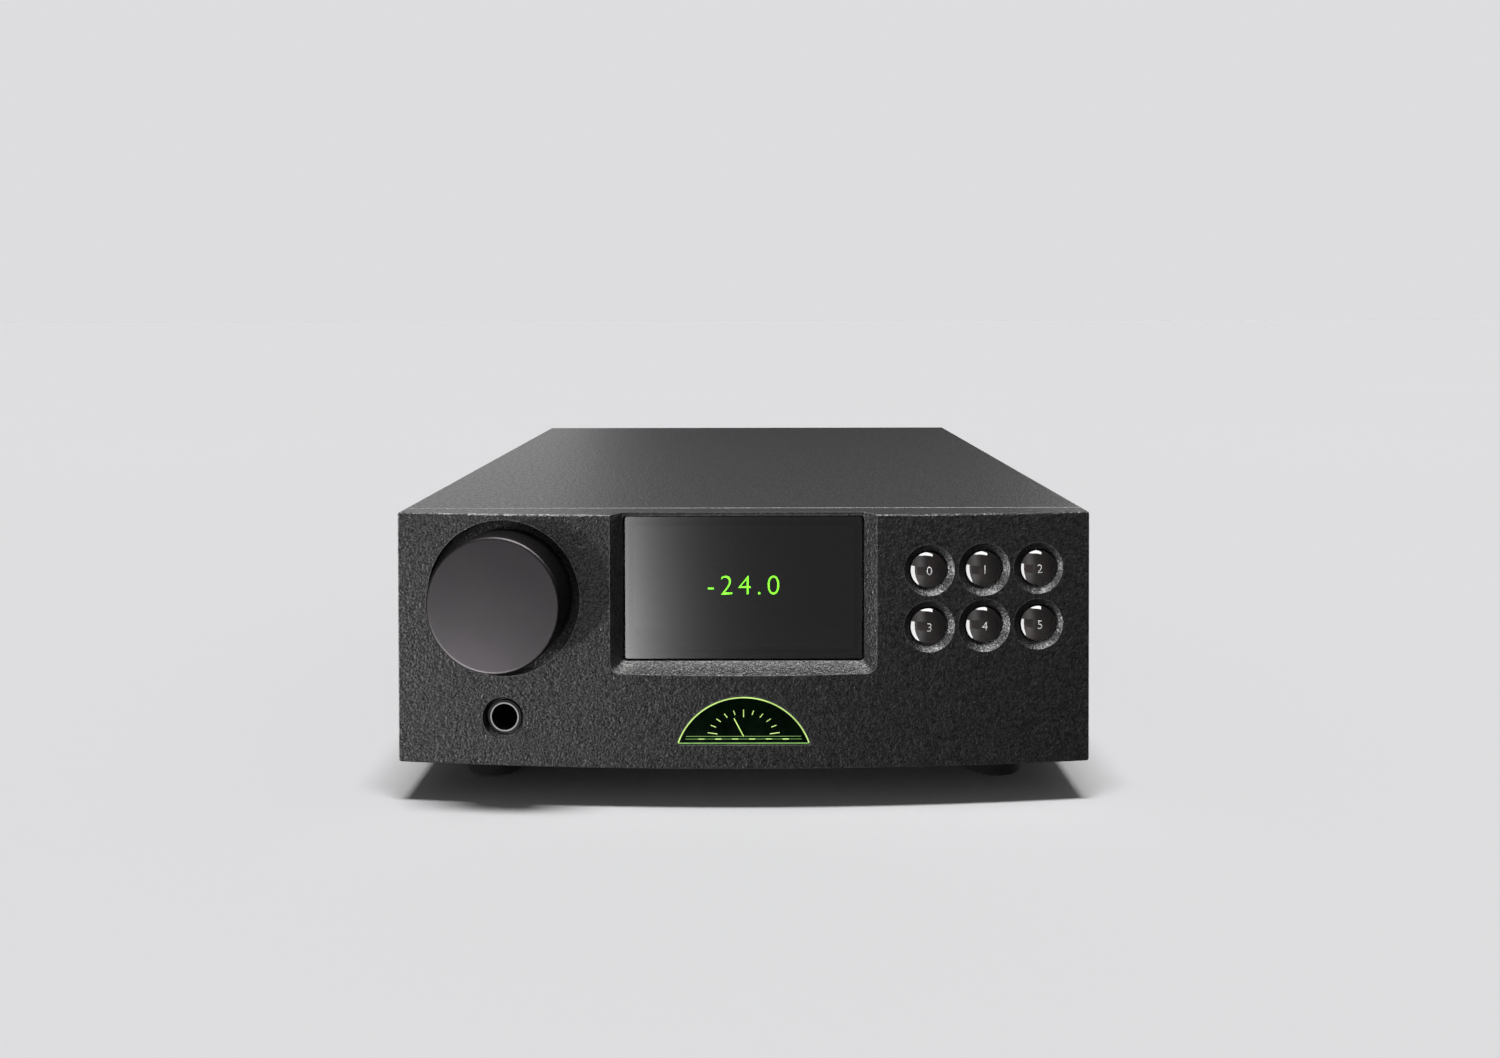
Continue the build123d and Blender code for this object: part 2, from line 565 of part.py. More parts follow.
with BuildPart() as chassis_tray:
    with BuildSketch(Plane.XY.offset(TRAY_BOTTOM)):
        with Locations((0, (SUBFRAME_FRONT + PANEL_INNER) / 2)):
            Rectangle(2 * TRAY_HALF, PANEL_INNER - SUBFRAME_FRONT)
    extrude(amount=SHEET)
    side_length = PANEL_INNER - SUBFRAME_FRONT
    with BuildSketch(Plane.XY.offset(TRAY_TOP)):  # low side walls
        for side in (-1, 1):
            with Locations((side * (TRAY_HALF - SHEET / 2), (SUBFRAME_FRONT + PANEL_INNER) / 2)):
                Rectangle(SHEET, side_length)
    extrude(amount=10.0)
    with BuildSketch(section(SUBFRAME_FRONT)):  # upright front plate with its openings
        with Locations((0, (TRAY_BOTTOM + 83.4) / 2)):
            Rectangle(2 * TRAY_HALF, 83.4 - TRAY_BOTTOM)
        with Locations((-71.5, 47.5)):
            Rectangle(38.0, 58.0, mode=Mode.SUBTRACT)
        with Locations((0, 47.0)):
            Rectangle(84.0, 50.0, mode=Mode.SUBTRACT)
        with Locations((71.5, 58.0)):
            Rectangle(38.0, 30.0, mode=Mode.SUBTRACT)
        with Locations(*FASCIA_BOSSES):
            Circle(SCREW_RADIUS + 0.15, mode=Mode.SUBTRACT)
    extrude(amount=-SHEET)
    with BuildSketch(section(PANEL_INNER)):  # rear lip and two tall corner tabs
        with Locations((0, TRAY_TOP + 3.2)):
            Rectangle(2 * TRAY_HALF, 6.4)
        for side in (-1, 1):
            with Locations((side * (TRAY_HALF - 4.0), (TRAY_TOP + 83.0) / 2)):
                Rectangle(8.0, 83.0 - TRAY_TOP)
        with Locations(*LOW_PANEL_SCREWS, *HIGH_PANEL_SCREWS):
            Circle(SCREW_RADIUS + SNUG, mode=Mode.SUBTRACT)
    extrude(amount=SHEET)
    with Locations(*[(x, y, TRAY_TOP) for x, y in FOOT_PLACES]):
        Hole(FOOT_SCREW_RADIUS + SNUG, SHEET)
    with Locations((TRANSFORMER_X, TRANSFORMER_Y, TRAY_TOP)):
        Hole(BOLT_RADIUS + SNUG, SHEET)

# ---------------------------------------------------------------- mains transformer
PAD_TOP = TRAY_TOP + PAD
RING_TOP = PAD_TOP + TRANSFORMER_HEIGHT
RING_WIDTH = TRANSFORMER_OUTER - TRANSFORMER_INNER
TRANSFORMER_FOOT = Plane((TRANSFORMER_X, TRANSFORMER_Y, 0))

with BuildPart() as mains_transformer:
    with BuildSketch(half_section(TRANSFORMER_FOOT)):
        with Locations((TRANSFORMER_INNER + RING_WIDTH / 2, PAD_TOP + TRANSFORMER_HEIGHT / 2)):
            RectangleRounded(RING_WIDTH, TRANSFORMER_HEIGHT, 9.0)
    revolve(axis=axis_of(TRANSFORMER_FOOT))

with BuildPart() as transformer_pads:
    for height in (TRAY_TOP, RING_TOP):
        with BuildSketch(Plane.XY.offset(height)):
            with Locations((TRANSFORMER_X, TRANSFORMER_Y)):
                Circle(40.0)
                Circle(20.0, mode=Mode.SUBTRACT)
        extrude(amount=PAD)

DISH_TOP = RING_TOP + PAD
DISH_DIP = 8.0
with BuildPart() as transformer_dish:
    with BuildSketch(half_section(TRANSFORMER_FOOT)):
        with BuildLine():
            Polyline(
                (BOLT_RADIUS + 0.3, DISH_TOP - DISH_DIP),
                (8.0, DISH_TOP - DISH_DIP),
                (13.5, DISH_TOP),
                (36.0, DISH_TOP),
                (36.0, DISH_TOP + SHEET),
                (12.5, DISH_TOP + SHEET),
                (7.0, DISH_TOP - DISH_DIP + SHEET),
                (BOLT_RADIUS + 0.3, DISH_TOP - DISH_DIP + SHEET),
                close=True,
            )
        make_face()
    revolve(axis=axis_of(TRANSFORMER_FOOT))

BOLT_SEAT = DISH_TOP - DISH_DIP + SHEET
with BuildPart() as transformer_bolt:
    with BuildSketch(Plane.XY.offset(BOLT_SEAT)):
        with Locations((TRANSFORMER_X, TRANSFORMER_Y)):
            RegularPolygon(5.0, 6, major_radius=False)
    extrude(amount=4.0)
    with Locations((TRANSFORMER_X, TRANSFORMER_Y, TRAY_BOTTOM)):
        Cylinder(BOLT_RADIUS, BOLT_SEAT - TRAY_BOTTOM, align=STANDING)

# ---------------------------------------------------------------- circuit boards
PILLAR_HEIGHT = 5.0
BOARD_BOTTOM = TRAY_TOP + PILLAR_HEIGHT
BOARD_TOP = BOARD_BOTTOM + BOARD
PILLAR_PLACES = [
    (-90.0, 4.0),
    (-90.0, 98.0),
    (-52.0, 136.0),
    (2.0, 4.0),
    (2.0, 136.0),
    (91.0, 136.0),
    (91.0, 4.0),
    (91.0, -112.0),
    (18.0, -112.0),
]
INPUT_BOARD_BOTTOM = 57.0
INPUT_BOARD_TOP = INPUT_BOARD_BOTTOM + BOARD
TALL_PILLAR_PLACES = [(14.0, 104.0), (92.0, 104.0), (14.0, 132.0), (81.0, 132.0)]

with BuildPart() as main_board:
    with BuildSketch(Plane.XY.offset(BOARD_BOTTOM)):
        with BuildLine():
            Polyline(
                (-96, -2),
                (-96, 104),
                (-60, 104),
                (-60, 142),
                (96, 142),
                (96, -118),
                (12, -118),
                (12, -2),
                close=True,
            )
        make_face()
        with Locations(*PILLAR_PLACES):
            Circle(SCREW_RADIUS + 0.15, mode=Mode.SUBTRACT)
    extrude(amount=BOARD)

with BuildPart() as input_board:
    with BuildSketch(Plane.XY.offset(INPUT_BOARD_BOTTOM)):
        with Locations((53.0, 121.0)):
            RectangleRounded(86.0, 45.0, 2.0)
        with Locations(*TALL_PILLAR_PLACES):
            Circle(SCREW_RADIUS + 0.15, mode=Mode.SUBTRACT)
    extrude(amount=BOARD)

with BuildPart() as board_pillars:
    with BuildSketch(Plane.XY.offset(TRAY_TOP)):
        with Locations(*PILLAR_PLACES):
            RegularPolygon(2.75, 6, major_radius=False)
            Circle(SCREW_RADIUS + SNUG, mode=Mode.SUBTRACT)
    extrude(amount=PILLAR_HEIGHT)
    with BuildSketch(Plane.XY.offset(BOARD_TOP)):
        with Locations(*TALL_PILLAR_PLACES):
            RegularPolygon(2.75, 6, major_radius=False)
            Circle(SCREW_RADIUS + SNUG, mode=Mode.SUBTRACT)
    extrude(amount=INPUT_BOARD_BOTTOM - BOARD_TOP)
    with BuildSketch(Plane.XY.offset(TRAY_TOP)):
        with Locations(*HEADPHONE_PILLARS):
            RegularPolygon(2.75, 6, major_radius=False)
            Circle(SCREW_RADIUS + SNUG, mode=Mode.SUBTRACT)
    extrude(amount=HEADPHONE_BOARD_Z - TRAY_TOP)

# ---------------------------------------------------------------- parts on the main board
with BuildPart() as capacitors:
    with Locations(*[(x, 22.0, BOARD_TOP) for x in (-80.0, -54.0, -28.0, -2.0)]):  # mains reservoirs
        Cylinder(11.0, 40.0, align=STANDING)
    with Locations((46.0, 60.0, BOARD_TOP)):
        with GridLocations(14.0, 22.0, 6, 3):
            Cylinder(4.0, 12.0, align=STANDING)
    with Locations((-55.0, 62.0, BOARD_TOP)):
        with GridLocations(14.0, 16.0, 4, 2):
            Cylinder(5.0, 14.0, align=STANDING)
    can_tops = capacitors.faces().filter_by(Axis.Z).filter_by(lambda face: face.center().Z > BOARD_TOP + 1)
    fillet(can_tops.edges(), 0.8)

with BuildPart() as signal_chips:
    for x, y, width, length, height in (
        (60.0, -10.0, 22.0, 22.0, 1.8),  # digital signal processor
        (30.0, -12.0, 12.0, 12.0, 1.4),  # input receiver
        (30.0, 24.0, 10.0, 6.0, 1.6),  # converter
        (60.0, 24.0, 12.0, 10.0, 4.0),  # master clock can
    ):
        with Locations((x, y, BOARD_TOP)):
            Box(width, length, height, align=STANDING)
    with Locations((-52.0, 96.0, BOARD_TOP)):  # output amplifiers
        with GridLocations(12.0, 12.0, 4, 2):
            Box(5.0, 4.0, 1.6, align=STANDING)
    with Locations((46.0, 112.0, INPUT_BOARD_TOP)):  # computer-input receiver
        Box(12.0, 12.0, 1.4, align=STANDING)

SINK_X = 88.0
with BuildPart() as heat_sink:
    with BuildSketch(Plane.XY.offset(BOARD_TOP)):
        with Locations((SINK_X - 4.0, -62.0)):
            Rectangle(3.0, 72.0)
        with Locations((SINK_X + 2.5, -62.0)):
            with GridLocations(1.0, 7.8, 1, 10):
                Rectangle(10.0, 1.4)
    extrude(amount=38.0)

with BuildPart() as regulators:
    with Locations((SINK_X - 5.5 - GAP - 2.2, -62.0, BOARD_TOP + 5.0)):
        with GridLocations(1.0, 18.0, 1, 4):
            Box(4.4, 10.2, 15.0, align=STANDING)
    with Locations((SINK_X - 5.5 - GAP - 2.6, -62.0, BOARD_TOP)):  # legs
        with GridLocations(1.0, 18.0, 1, 4):
            with GridLocations(1.0, 2.5, 1, 3):
                Box(0.6, 0.8, 5.0, align=STANDING)

# Each ribbon: x, width, where it leaves its board (y, z), then the header it drops to (y, z).
RIBBON = 0.9
HEADER_HEIGHT = 8.0
RIBBONS = [
    (26.0, 22.0, DISPLAY_BOARD_FRONT + BOARD + 1.5, 52.0, -104.0, BOARD_TOP),
    (71.4, 18.0, SUBFRAME_FRONT - 3.3, CONTROL_Z + BUTTON_HEADER_Y, -104.0, BOARD_TOP),
    (-71.0, 8.0, SUBFRAME_FRONT - 1.6, CONTROL_Z, -111.0, HEADPHONE_BOARD_Z + BOARD),
]
with BuildPart() as board_headers:
    for x, width, _, _, y, floor in RIBBONS:
        with Locations((x, y, floor)):
            Box(width + 4.0, 6.0, HEADER_HEIGHT, align=STANDING)
    for x in (-60.0, -30.0):  # transformer outputs
        with Locations((x, 5.0, BOARD_TOP)):
            Box(16.0, 6.0, HEADER_HEIGHT, align=STANDING)

with BuildPart() as ribbon_cables:
    for x, width, start, z, y, floor in RIBBONS:
        with BuildSketch(Plane.YZ.offset(x - width / 2)):
            with BuildLine():
                FilletPolyline((start, z), (y, z), (y, floor + HEADER_HEIGHT), radius=4.0)
            trace(line_width=RIBBON)
        extrude(amount=width)

# ---------------------------------------------------------------- back panel
INLET_PLACE = on_back(-77.0, PANEL_FACE, 41.0)
INLET_BODY = (27.4, 33.4)
ROCKER_PLACE = on_back(-77.0, PANEL_FACE, 71.2)
SWITCH_BODY = (13.0, 19.0)
GROUND_PLACE = on_back(-53.0, PANEL_FACE, 68.0)
XLR_PLACES = [on_back(x, PANEL_FACE, 38.5) for x in (-39.0, -9.0)]
XLR_FLANGE = (26.0, 31.0)
XLR_CUP = 11.0
XLR_BORE = 9.4
XLR_SCREW = (19.0, 24.0)
RCA_PLACES = [
    on_back(x, PANEL_FACE, z) for x, z in ((-33.0, 68.0), (-15.0, 68.0), (47.0, 36.0), (66.0, 36.0))
]
RCA_TAIL = 4.8
BNC_PLACE = on_back(25.0, PANEL_FACE, 36.0)
BNC_TAIL = 5.5
OPTICAL_BODY = (10.2, 11.6)
OPTICAL_Z = INPUT_BOARD_TOP + OPTICAL_BODY[1] / 2
OPTICAL_PLACES = [on_back(x, PANEL_FACE, OPTICAL_Z) for x in (25.0, 45.0)]
USB_SHELL = (12.0, 10.8)
USB_PLACE = on_back(70.0, PANEL_FACE, INPUT_BOARD_TOP + USB_SHELL[1] / 2)
CUT_GAP = 0.2  # clearance round each body in its cut-out

XLR_SCREW_PLACES = [
    moved(place, side * XLR_SCREW[0] / 2, -side * XLR_SCREW[1] / 2)
    for place in XLR_PLACES
    for side in (-1, 1)
]


SQUARE_OPENINGS = [
    (INLET_PLACE, *INLET_BODY),
    (ROCKER_PLACE, *SWITCH_BODY),
    (GROUND_PLACE, 8.2, 3.4),
    *[(place, *OPTICAL_BODY) for place in OPTICAL_PLACES],
    (USB_PLACE, *USB_SHELL),
]
ROUND_OPENINGS = [
    *[(place, XLR_CUP) for place in XLR_PLACES],
    *[(place, SCREW_RADIUS) for place in XLR_SCREW_PLACES],
    *[(place, RCA_TAIL) for place in RCA_PLACES],
    (BNC_PLACE, BNC_TAIL),
]

with BuildPart() as rear_panel:
    with BuildSketch(section(PANEL_INNER)):
        with Locations((0, CASE_MID)):
            Rectangle(WIDTH - 2 * SLEEVE_WALL - 0.6, CASE_HEIGHT - 2 * SLEEVE_WALL - 0.6)
        with Locations(*LOW_PANEL_SCREWS, *HIGH_PANEL_SCREWS):
            Circle(SCREW_RADIUS + CUT_GAP, mode=Mode.SUBTRACT)
    extrude(amount=-PANEL_THICKNESS)
    for place, width, height in SQUARE_OPENINGS:
        with BuildSketch(place):
            Rectangle(width + 2 * CUT_GAP, height + 2 * CUT_GAP)
        extrude(amount=-PANEL_THICKNESS, mode=Mode.SUBTRACT)
    for place, radius in ROUND_OPENINGS:
        with BuildSketch(place):
            Circle(radius + CUT_GAP)
        extrude(amount=-PANEL_THICKNESS, mode=Mode.SUBTRACT)

# ---------------------------------------------------------------- mains inlet, fuse drawer and fuse
INLET_FLANGE = 2.0
INLET_DEPTH = 30.0
SOCKET_Y = -6.5  # middle of the plug opening, below the middle of the body
SOCKET_SIZE = (24.2, 16.4)
SOCKET_DEPTH = 16.0
DRAWER_Y = 10.4
DRAWER_SIZE = (23.0, 7.6)
DRAWER_DEPTH = 24.0


def plug_outline(width, height, corner):
    """Six-sided plug outline: a rectangle with its two upper corners cut off."""
    half, rise = width / 2, height / 2
    with BuildSketch() as outline:
        with BuildLine():
            Polyline(
                (-half, -rise),
                (half, -rise),
                (half, rise - corner),
                (half - corner, rise),
                (corner - half, rise),
                (-half, rise - corner),
                close=True,
            )
        make_face()
    return outline.sketch


with BuildPart() as mains_inlet:
    with BuildSketch(INLET_PLACE):
        RectangleRounded(31.0, 37.0, 1.5)
    extrude(amount=INLET_FLANGE)
    with BuildSketch(INLET_PLACE):
        RectangleRounded(*INLET_BODY, 0.9)
    extrude(amount=-INLET_DEPTH)
    with BuildSketch(moved(INLET_PLACE, y=SOCKET_Y, z=INLET_FLANGE)):
        add(plug_outline(*SOCKET_SIZE, 4.5))
    extrude(amount=-SOCKET_DEPTH, mode=Mode.SUBTRACT)
    with BuildSketch(moved(INLET_PLACE, y=DRAWER_Y, z=INLET_FLANGE)):
        Rectangle(DRAWER_SIZE[0] + 0.3, DRAWER_SIZE[1] + 0.3)
    extrude(amount=-(DRAWER_DEPTH + 1.0), mode=Mode.SUBTRACT)

PIN_PLACES = [(-7.0, -2.0), (7.0, -2.0), (0.0, 2.2)]
with BuildPart() as inlet_pins:
    with BuildSketch(moved(INLET_PLACE, y=SOCKET_Y, z=INLET_FLANGE - SOCKET_DEPTH)):
        with Locations(*PIN_PLACES):
            Rectangle(2.0, 4.0)
    extrude(amount=SOCKET_DEPTH - 3.0)
    with BuildSketch(moved(INLET_PLACE, y=SOCKET_Y, z=-INLET_DEPTH)):  # tags for the wires
        with Locations(*PIN_PLACES):
            Rectangle(0.8, 4.0)
    extrude(amount=-7.0)

FUSE_RADIUS = 2.6
FUSE_LENGTH = 20.0
with BuildPart() as fuse_drawer:
    with BuildSketch(moved(INLET_PLACE, y=DRAWER_Y, z=INLET_FLANGE)):
        Rectangle(*DRAWER_SIZE)
    extrude(amount=-DRAWER_DEPTH)
    with BuildSketch(moved(INLET_PLACE, y=DRAWER_Y + 0.75, z=INLET_FLANGE - 3.0)):  # fuse bay, open upwards
        Rectangle(FUSE_LENGTH + 0.6, DRAWER_SIZE[1])
    extrude(amount=-9.0, mode=Mode.SUBTRACT)
    with BuildSketch(moved(INLET_PLACE, y=DRAWER_Y + 2.6, z=INLET_FLANGE)):  # finger notch
        Rectangle(8.0, 2.4)
    extrude(amount=-1.2, mode=Mode.SUBTRACT)

with BuildPart() as fuse:
    with Locations(
        moved(INLET_PLACE, y=DRAWER_Y - 0.3, z=INLET_FLANGE - 7.5).location * Location((0, 0, 0), (0, 90, 0))
    ):
        Cylinder(FUSE_RADIUS, FUSE_LENGTH)
        for end in (-1, 1):
            with Locations((0, 0, end * (FUSE_LENGTH / 2 - 2.5))):
                Cylinder(FUSE_RADIUS + 0.15, 5.0)

# ---------------------------------------------------------------- mains switch
ROCKER_TILT = 8.0
ROCKER_HALF = 7.8
PIVOT_DEPTH = -2.6
with BuildPart() as power_switch_frame:
    with BuildSketch(ROCKER_PLACE):
        RectangleRounded(15.0, 21.0, 1.0)
    extrude(amount=1.6)
    with BuildSketch(ROCKER_PLACE):
        RectangleRounded(*SWITCH_BODY, 0.5)
    extrude(amount=-15.0)
    with BuildSketch(moved(ROCKER_PLACE, z=1.6)):
        Rectangle(10.6, 17.4)
    extrude(amount=-9.0, mode=Mode.SUBTRACT)
    with Locations(moved(ROCKER_PLACE, z=PIVOT_DEPTH).location * Location((0, 0, 0), (0, 90, 0))):
        Cylinder(1.0 + RUNNING, 12.0, mode=Mode.SUBTRACT)
    with BuildSketch(moved(ROCKER_PLACE, z=-15.0)):  # two tags for the wires
        with GridLocations(1.0, 8.0, 1, 2):
            Rectangle(4.0, 0.8)
    extrude(amount=-6.0)

PIVOT = moved(ROCKER_PLACE, z=PIVOT_DEPTH)
# The rocker's own plane: x runs out of the panel and y up, tipped by the resting angle.
ROCKER_SECTION = Plane(
    origin=PIVOT.origin,
    x_dir=PIVOT.z_dir.rotate(Axis((0, 0, 0), (1, 0, 0)), ROCKER_TILT),
    z_dir=(1, 0, 0),
)
with BuildPart() as power_rocker:
    with BuildSketch(ROCKER_SECTION):
        with BuildLine():
            Polyline(
                (-2.4, -2.4),
                (1.4, -ROCKER_HALF),
                (6.4, -ROCKER_HALF),
            )
            ThreePointArc((6.4, -ROCKER_HALF), (5.0, 0.0), (6.4, ROCKER_HALF))
            Polyline(
                (6.4, ROCKER_HALF),
                (1.4, ROCKER_HALF),
                (-2.4, 2.4),
                (-2.4, -2.4),
            )
        make_face()
    extrude(amount=5.1, both=True)
    with BuildSketch(ROCKER_SECTION):
        Circle(1.0)
    extrude(amount=5.9, both=True)

# ---------------------------------------------------------------- ground-lift slide switch
GROUND_TRAVEL = 4.0
with BuildPart() as ground_switch:
    with BuildSketch(moved(GROUND_PLACE, z=-PANEL_THICKNESS - GAP)):
        RectangleRounded(12.0, 6.4, 0.4)
    extrude(amount=-6.0)
    with BuildSketch(moved(GROUND_PLACE, z=-PANEL_THICKNESS - GAP)):
        Rectangle(8.2, 3.2)
    extrude(amount=-3.0, mode=Mode.SUBTRACT)

with BuildPart() as ground_slider:
    with BuildSketch(moved(GROUND_PLACE, x=GROUND_TRAVEL / 2, z=-PANEL_THICKNESS - 3.0)):
        Rectangle(3.4, 3.0)
    extrude(amount=PANEL_THICKNESS + 5.2)
    chamfer(ground_slider.faces().sort_by(Axis.Y)[-1].edges(), 0.4)

# ---------------------------------------------------------------- phono and bayonet sockets
RCA_OUTER = 4.15
RCA_INNER = 3.5
COLLAR = 1.6
with BuildPart() as rca_shells:
    for place in RCA_PLACES:
        with BuildSketch(half_section(place)):
            with BuildLine():
                Polyline(
                    (RCA_INNER, SOCKET_END - PANEL_FACE),
                    (RCA_OUTER, SOCKET_END - PANEL_FACE),
                    (RCA_OUTER, COLLAR),
                    (6.2, COLLAR),
                    (6.2, 0),
                    (RCA_TAIL, 0),
                    (RCA_TAIL, -8.0),
                    (RCA_INNER, -8.0),
                    close=True,
                )
            make_face()
        revolve(axis=axis_of(place))

BNC_OUTER = 4.8
BNC_BORE = 4.0
with BuildPart() as bnc_socket:
    with BuildSketch(BNC_PLACE):
        RegularPolygon(7.0, 6, major_radius=False)
    extrude(amount=2.0)
    with BuildSketch(half_section(BNC_PLACE)):
        with BuildLine():
            Polyline(
                (BNC_BORE, SOCKET_END - PANEL_FACE),
                (BNC_OUTER, SOCKET_END - PANEL_FACE),
                (BNC_OUTER, 0),
                (BNC_TAIL, 0),
                (BNC_TAIL, -9.0),
                (BNC_BORE, -9.0),
                close=True,
            )
        make_face()
    revolve(axis=axis_of(BNC_PLACE))
    with Locations(moved(BNC_PLACE, z=2.0).location):
        Cylinder(BNC_BORE, 12.0, mode=Mode.SUBTRACT)
    with Locations(moved(BNC_PLACE, z=5.6).location * Location((0, 0, 0), (0, 90, 0))):  # two bayonet studs
        for side in (-1, 1):
            with Locations((0, 0, side * (BNC_OUTER + 0.2))):
                Cylinder(1.0, 1.4)

with BuildPart() as socket_cores:  # insulating cores with their centre contacts' holes
    for places, radius, hole, front in (
        (RCA_PLACES, RCA_INNER - SNUG, 1.65, 4.0),
        ([BNC_PLACE], BNC_BORE - SNUG, 1.1, 1.0),
    ):
        with Locations(*[moved(place, z=front).location for place in places]):
            Cylinder(radius, front + 10.0, align=HANGING)
            Cylinder(hole, front + 6.0, align=HANGING, mode=Mode.SUBTRACT)

# ---------------------------------------------------------------- balanced outputs
XLR_DEPTH = 15.0
with BuildPart() as xlr_shells:
    with BuildSketch(*XLR_PLACES):
        RectangleRounded(*XLR_FLANGE, 3.0)
    extrude(amount=1.8)
    with BuildSketch(*XLR_PLACES):
        Circle(XLR_CUP)
    extrude(amount=-(XLR_DEPTH + 2.0))
    with BuildSketch(*[moved(place, z=1.8) for place in XLR_PLACES]):
        Circle(XLR_BORE)
    extrude(amount=-XLR_DEPTH, mode=Mode.SUBTRACT)
    with BuildSketch(*XLR_SCREW_PLACES):
        Circle(SCREW_RADIUS + 0.15)
    extrude(amount=1.8, mode=Mode.SUBTRACT)

with BuildPart() as xlr_pins:
    for place in XLR_PLACES:
        with Locations(moved(place, z=1.8 - XLR_DEPTH).location):
            with PolarLocations(4.4, 3, start_angle=90):
                Cylinder(1.2, 11.0, align=STANDING)
    fillet(xlr_pins.edges().group_by(Axis.Y)[-1], 0.5)

# ---------------------------------------------------------------- computer and optical inputs
with BuildPart() as usb_socket:
    with BuildSketch(moved(USB_PLACE, z=0.8)):
        Rectangle(*USB_SHELL)
    extrude(amount=-17.0)
    with BuildSketch(moved(USB_PLACE, z=0.8)):
        add(plug_outline(8.6, 7.9, 1.6))
    extrude(amount=-10.5, mode=Mode.SUBTRACT)
    with BuildSketch(moved(USB_PLACE, z=0.8 - 10.5)):
        Rectangle(5.4, 3.0)
    extrude(amount=9.0)

PORT = 7.4
FLAP_HINGE_Y = 3.1
FLAP_HINGE_Z = -0.6
with BuildPart() as optical_sockets:
    with BuildSketch(*[moved(place, z=1.0) for place in OPTICAL_PLACES]):
        Rectangle(*OPTICAL_BODY)
    extrude(amount=-14.0)
    with BuildSketch(*[moved(place, z=1.0) for place in OPTICAL_PLACES]):
        Rectangle(PORT, PORT)
    extrude(amount=-11.0, mode=Mode.SUBTRACT)
    with Locations(
        *[
            moved(place, y=FLAP_HINGE_Y, z=FLAP_HINGE_Z).location * Location((0, 0, 0), (0, 90, 0))
            for place in OPTICAL_PLACES
        ]
    ):
        Cylinder(0.4 + RUNNING, 8.8, mode=Mode.SUBTRACT)

flaps = {}
for side, place in zip(("left", "right"), OPTICAL_PLACES):
    hinge = moved(place, y=FLAP_HINGE_Y, z=FLAP_HINGE_Z)
    with BuildPart() as optical_shutter:
        with BuildSketch(moved(hinge, y=-3.15, z=-0.3)):
            Rectangle(PORT - 0.3, 7.1)
        extrude(amount=0.6)
        with Locations(hinge.location * Location((0, 0, 0), (0, 90, 0))):
            Cylinder(0.4, 8.6)
    flaps[f"optical_shutter_{side}"] = optical_shutter

# ---------------------------------------------------------------- mains wiring
WIRE_RADIUS = 1.2
TAG_END = PANEL_FACE - INLET_DEPTH - 7.0
SWITCH_END = PANEL_FACE - 21.0
TAG_Z = INLET_PLACE.origin.Z + SOCKET_Y
SWITCH_Z = ROCKER_PLACE.origin.Z


def transformer_side(x):
    """Depth of the transformer's rearward side at x."""
    return TRANSFORMER_Y + sqrt(TRANSFORMER_OUTER**2 - (x - TRANSFORMER_X) ** 2) + 0.7


WIRE_ROUTES = [
    [
        (-84, TAG_END, TAG_Z - 2),
        (-84, 100, TAG_Z - 2),
        (-77, 100, SWITCH_Z - 4),
        (-77, SWITCH_END, SWITCH_Z - 4),
    ],
    [
        (-77, SWITCH_END, SWITCH_Z + 4),
        (-77, 96, SWITCH_Z + 4),
        (-56, 2, 72),
        (-56, 2, 40),
        (-56, transformer_side(-56), 40),
    ],
    [
        (-70, TAG_END, TAG_Z - 2),
        (-70, 92, TAG_Z - 2),
        (-70, 84, 72),
        (-66, 2, 72),
        (-66, 2, 40),
        (-66, transformer_side(-66), 40),
    ],
    [(-77, TAG_END, TAG_Z + 2.2), (-77, 106, TAG_Z + 2.2), (-77, 106, TRAY_TOP)],
    *[
        [(x, transformer_side(x), 52), (x, 5, 52), (x, 5, BOARD_TOP + HEADER_HEIGHT)]
        for x in (-34.0, -26.0)
    ],
]
with BuildPart() as power_wires:
    for points in WIRE_ROUTES:
        with BuildLine() as route:
            FilletPolyline(*points, radius=2.5)
        with BuildSketch(Plane(origin=route.line @ 0, z_dir=route.line % 0)):
            Circle(WIRE_RADIUS)
        sweep()

# ---------------------------------------------------------------- M3 screws
SCREW_PLACES = (
    [on_back(x, SUBFRAME_FRONT + SHEET, z) for x, z in FASCIA_BOSSES]
    + [on_back(x, DISPLAY_BOARD_FRONT + BOARD, z) for x, z in DISPLAY_POSTS]
    + [on_back(x, SLEEVE_FRONT + BOARD, z) for x, z in LIGHT_POSTS]
    + [reversed_place(moved(post, z=BUTTON_BOARD - BOARD)) for post in BUTTON_POSTS]
    + [on_back(x, PANEL_FACE, z) for x, z in LOW_PANEL_SCREWS + HIGH_PANEL_SCREWS]
    + [moved(place, z=1.8) for place in XLR_SCREW_PLACES]
    + [Plane((x, y, BOARD_TOP)) for x, y in PILLAR_PLACES]
    + [Plane((x, y, HEADPHONE_BOARD_Z + BOARD)) for x, y in HEADPHONE_PILLARS]
    + [Plane((x, y, INPUT_BOARD_TOP)) for x, y in TALL_PILLAR_PLACES]
)
HEAD_RADIUS = 2.75
with BuildPart() as m3_screws:
    with Locations(*[place.location for place in SCREW_PLACES]):
        Cylinder(SCREW_RADIUS, SCREW_LENGTH - 1.0, align=HANGING)
        Cylinder(HEAD_RADIUS, 1.1, align=STANDING)
    with Locations(*[moved(place, z=1.1).location for place in SCREW_PLACES]):
        Cone(HEAD_RADIUS, 2.0, 0.9, align=STANDING)
    with BuildSketch(*[moved(place, z=2.0) for place in SCREW_PLACES]):
        RegularPolygon(1.15, 6)
    extrude(amount=-1.2, mode=Mode.SUBTRACT)

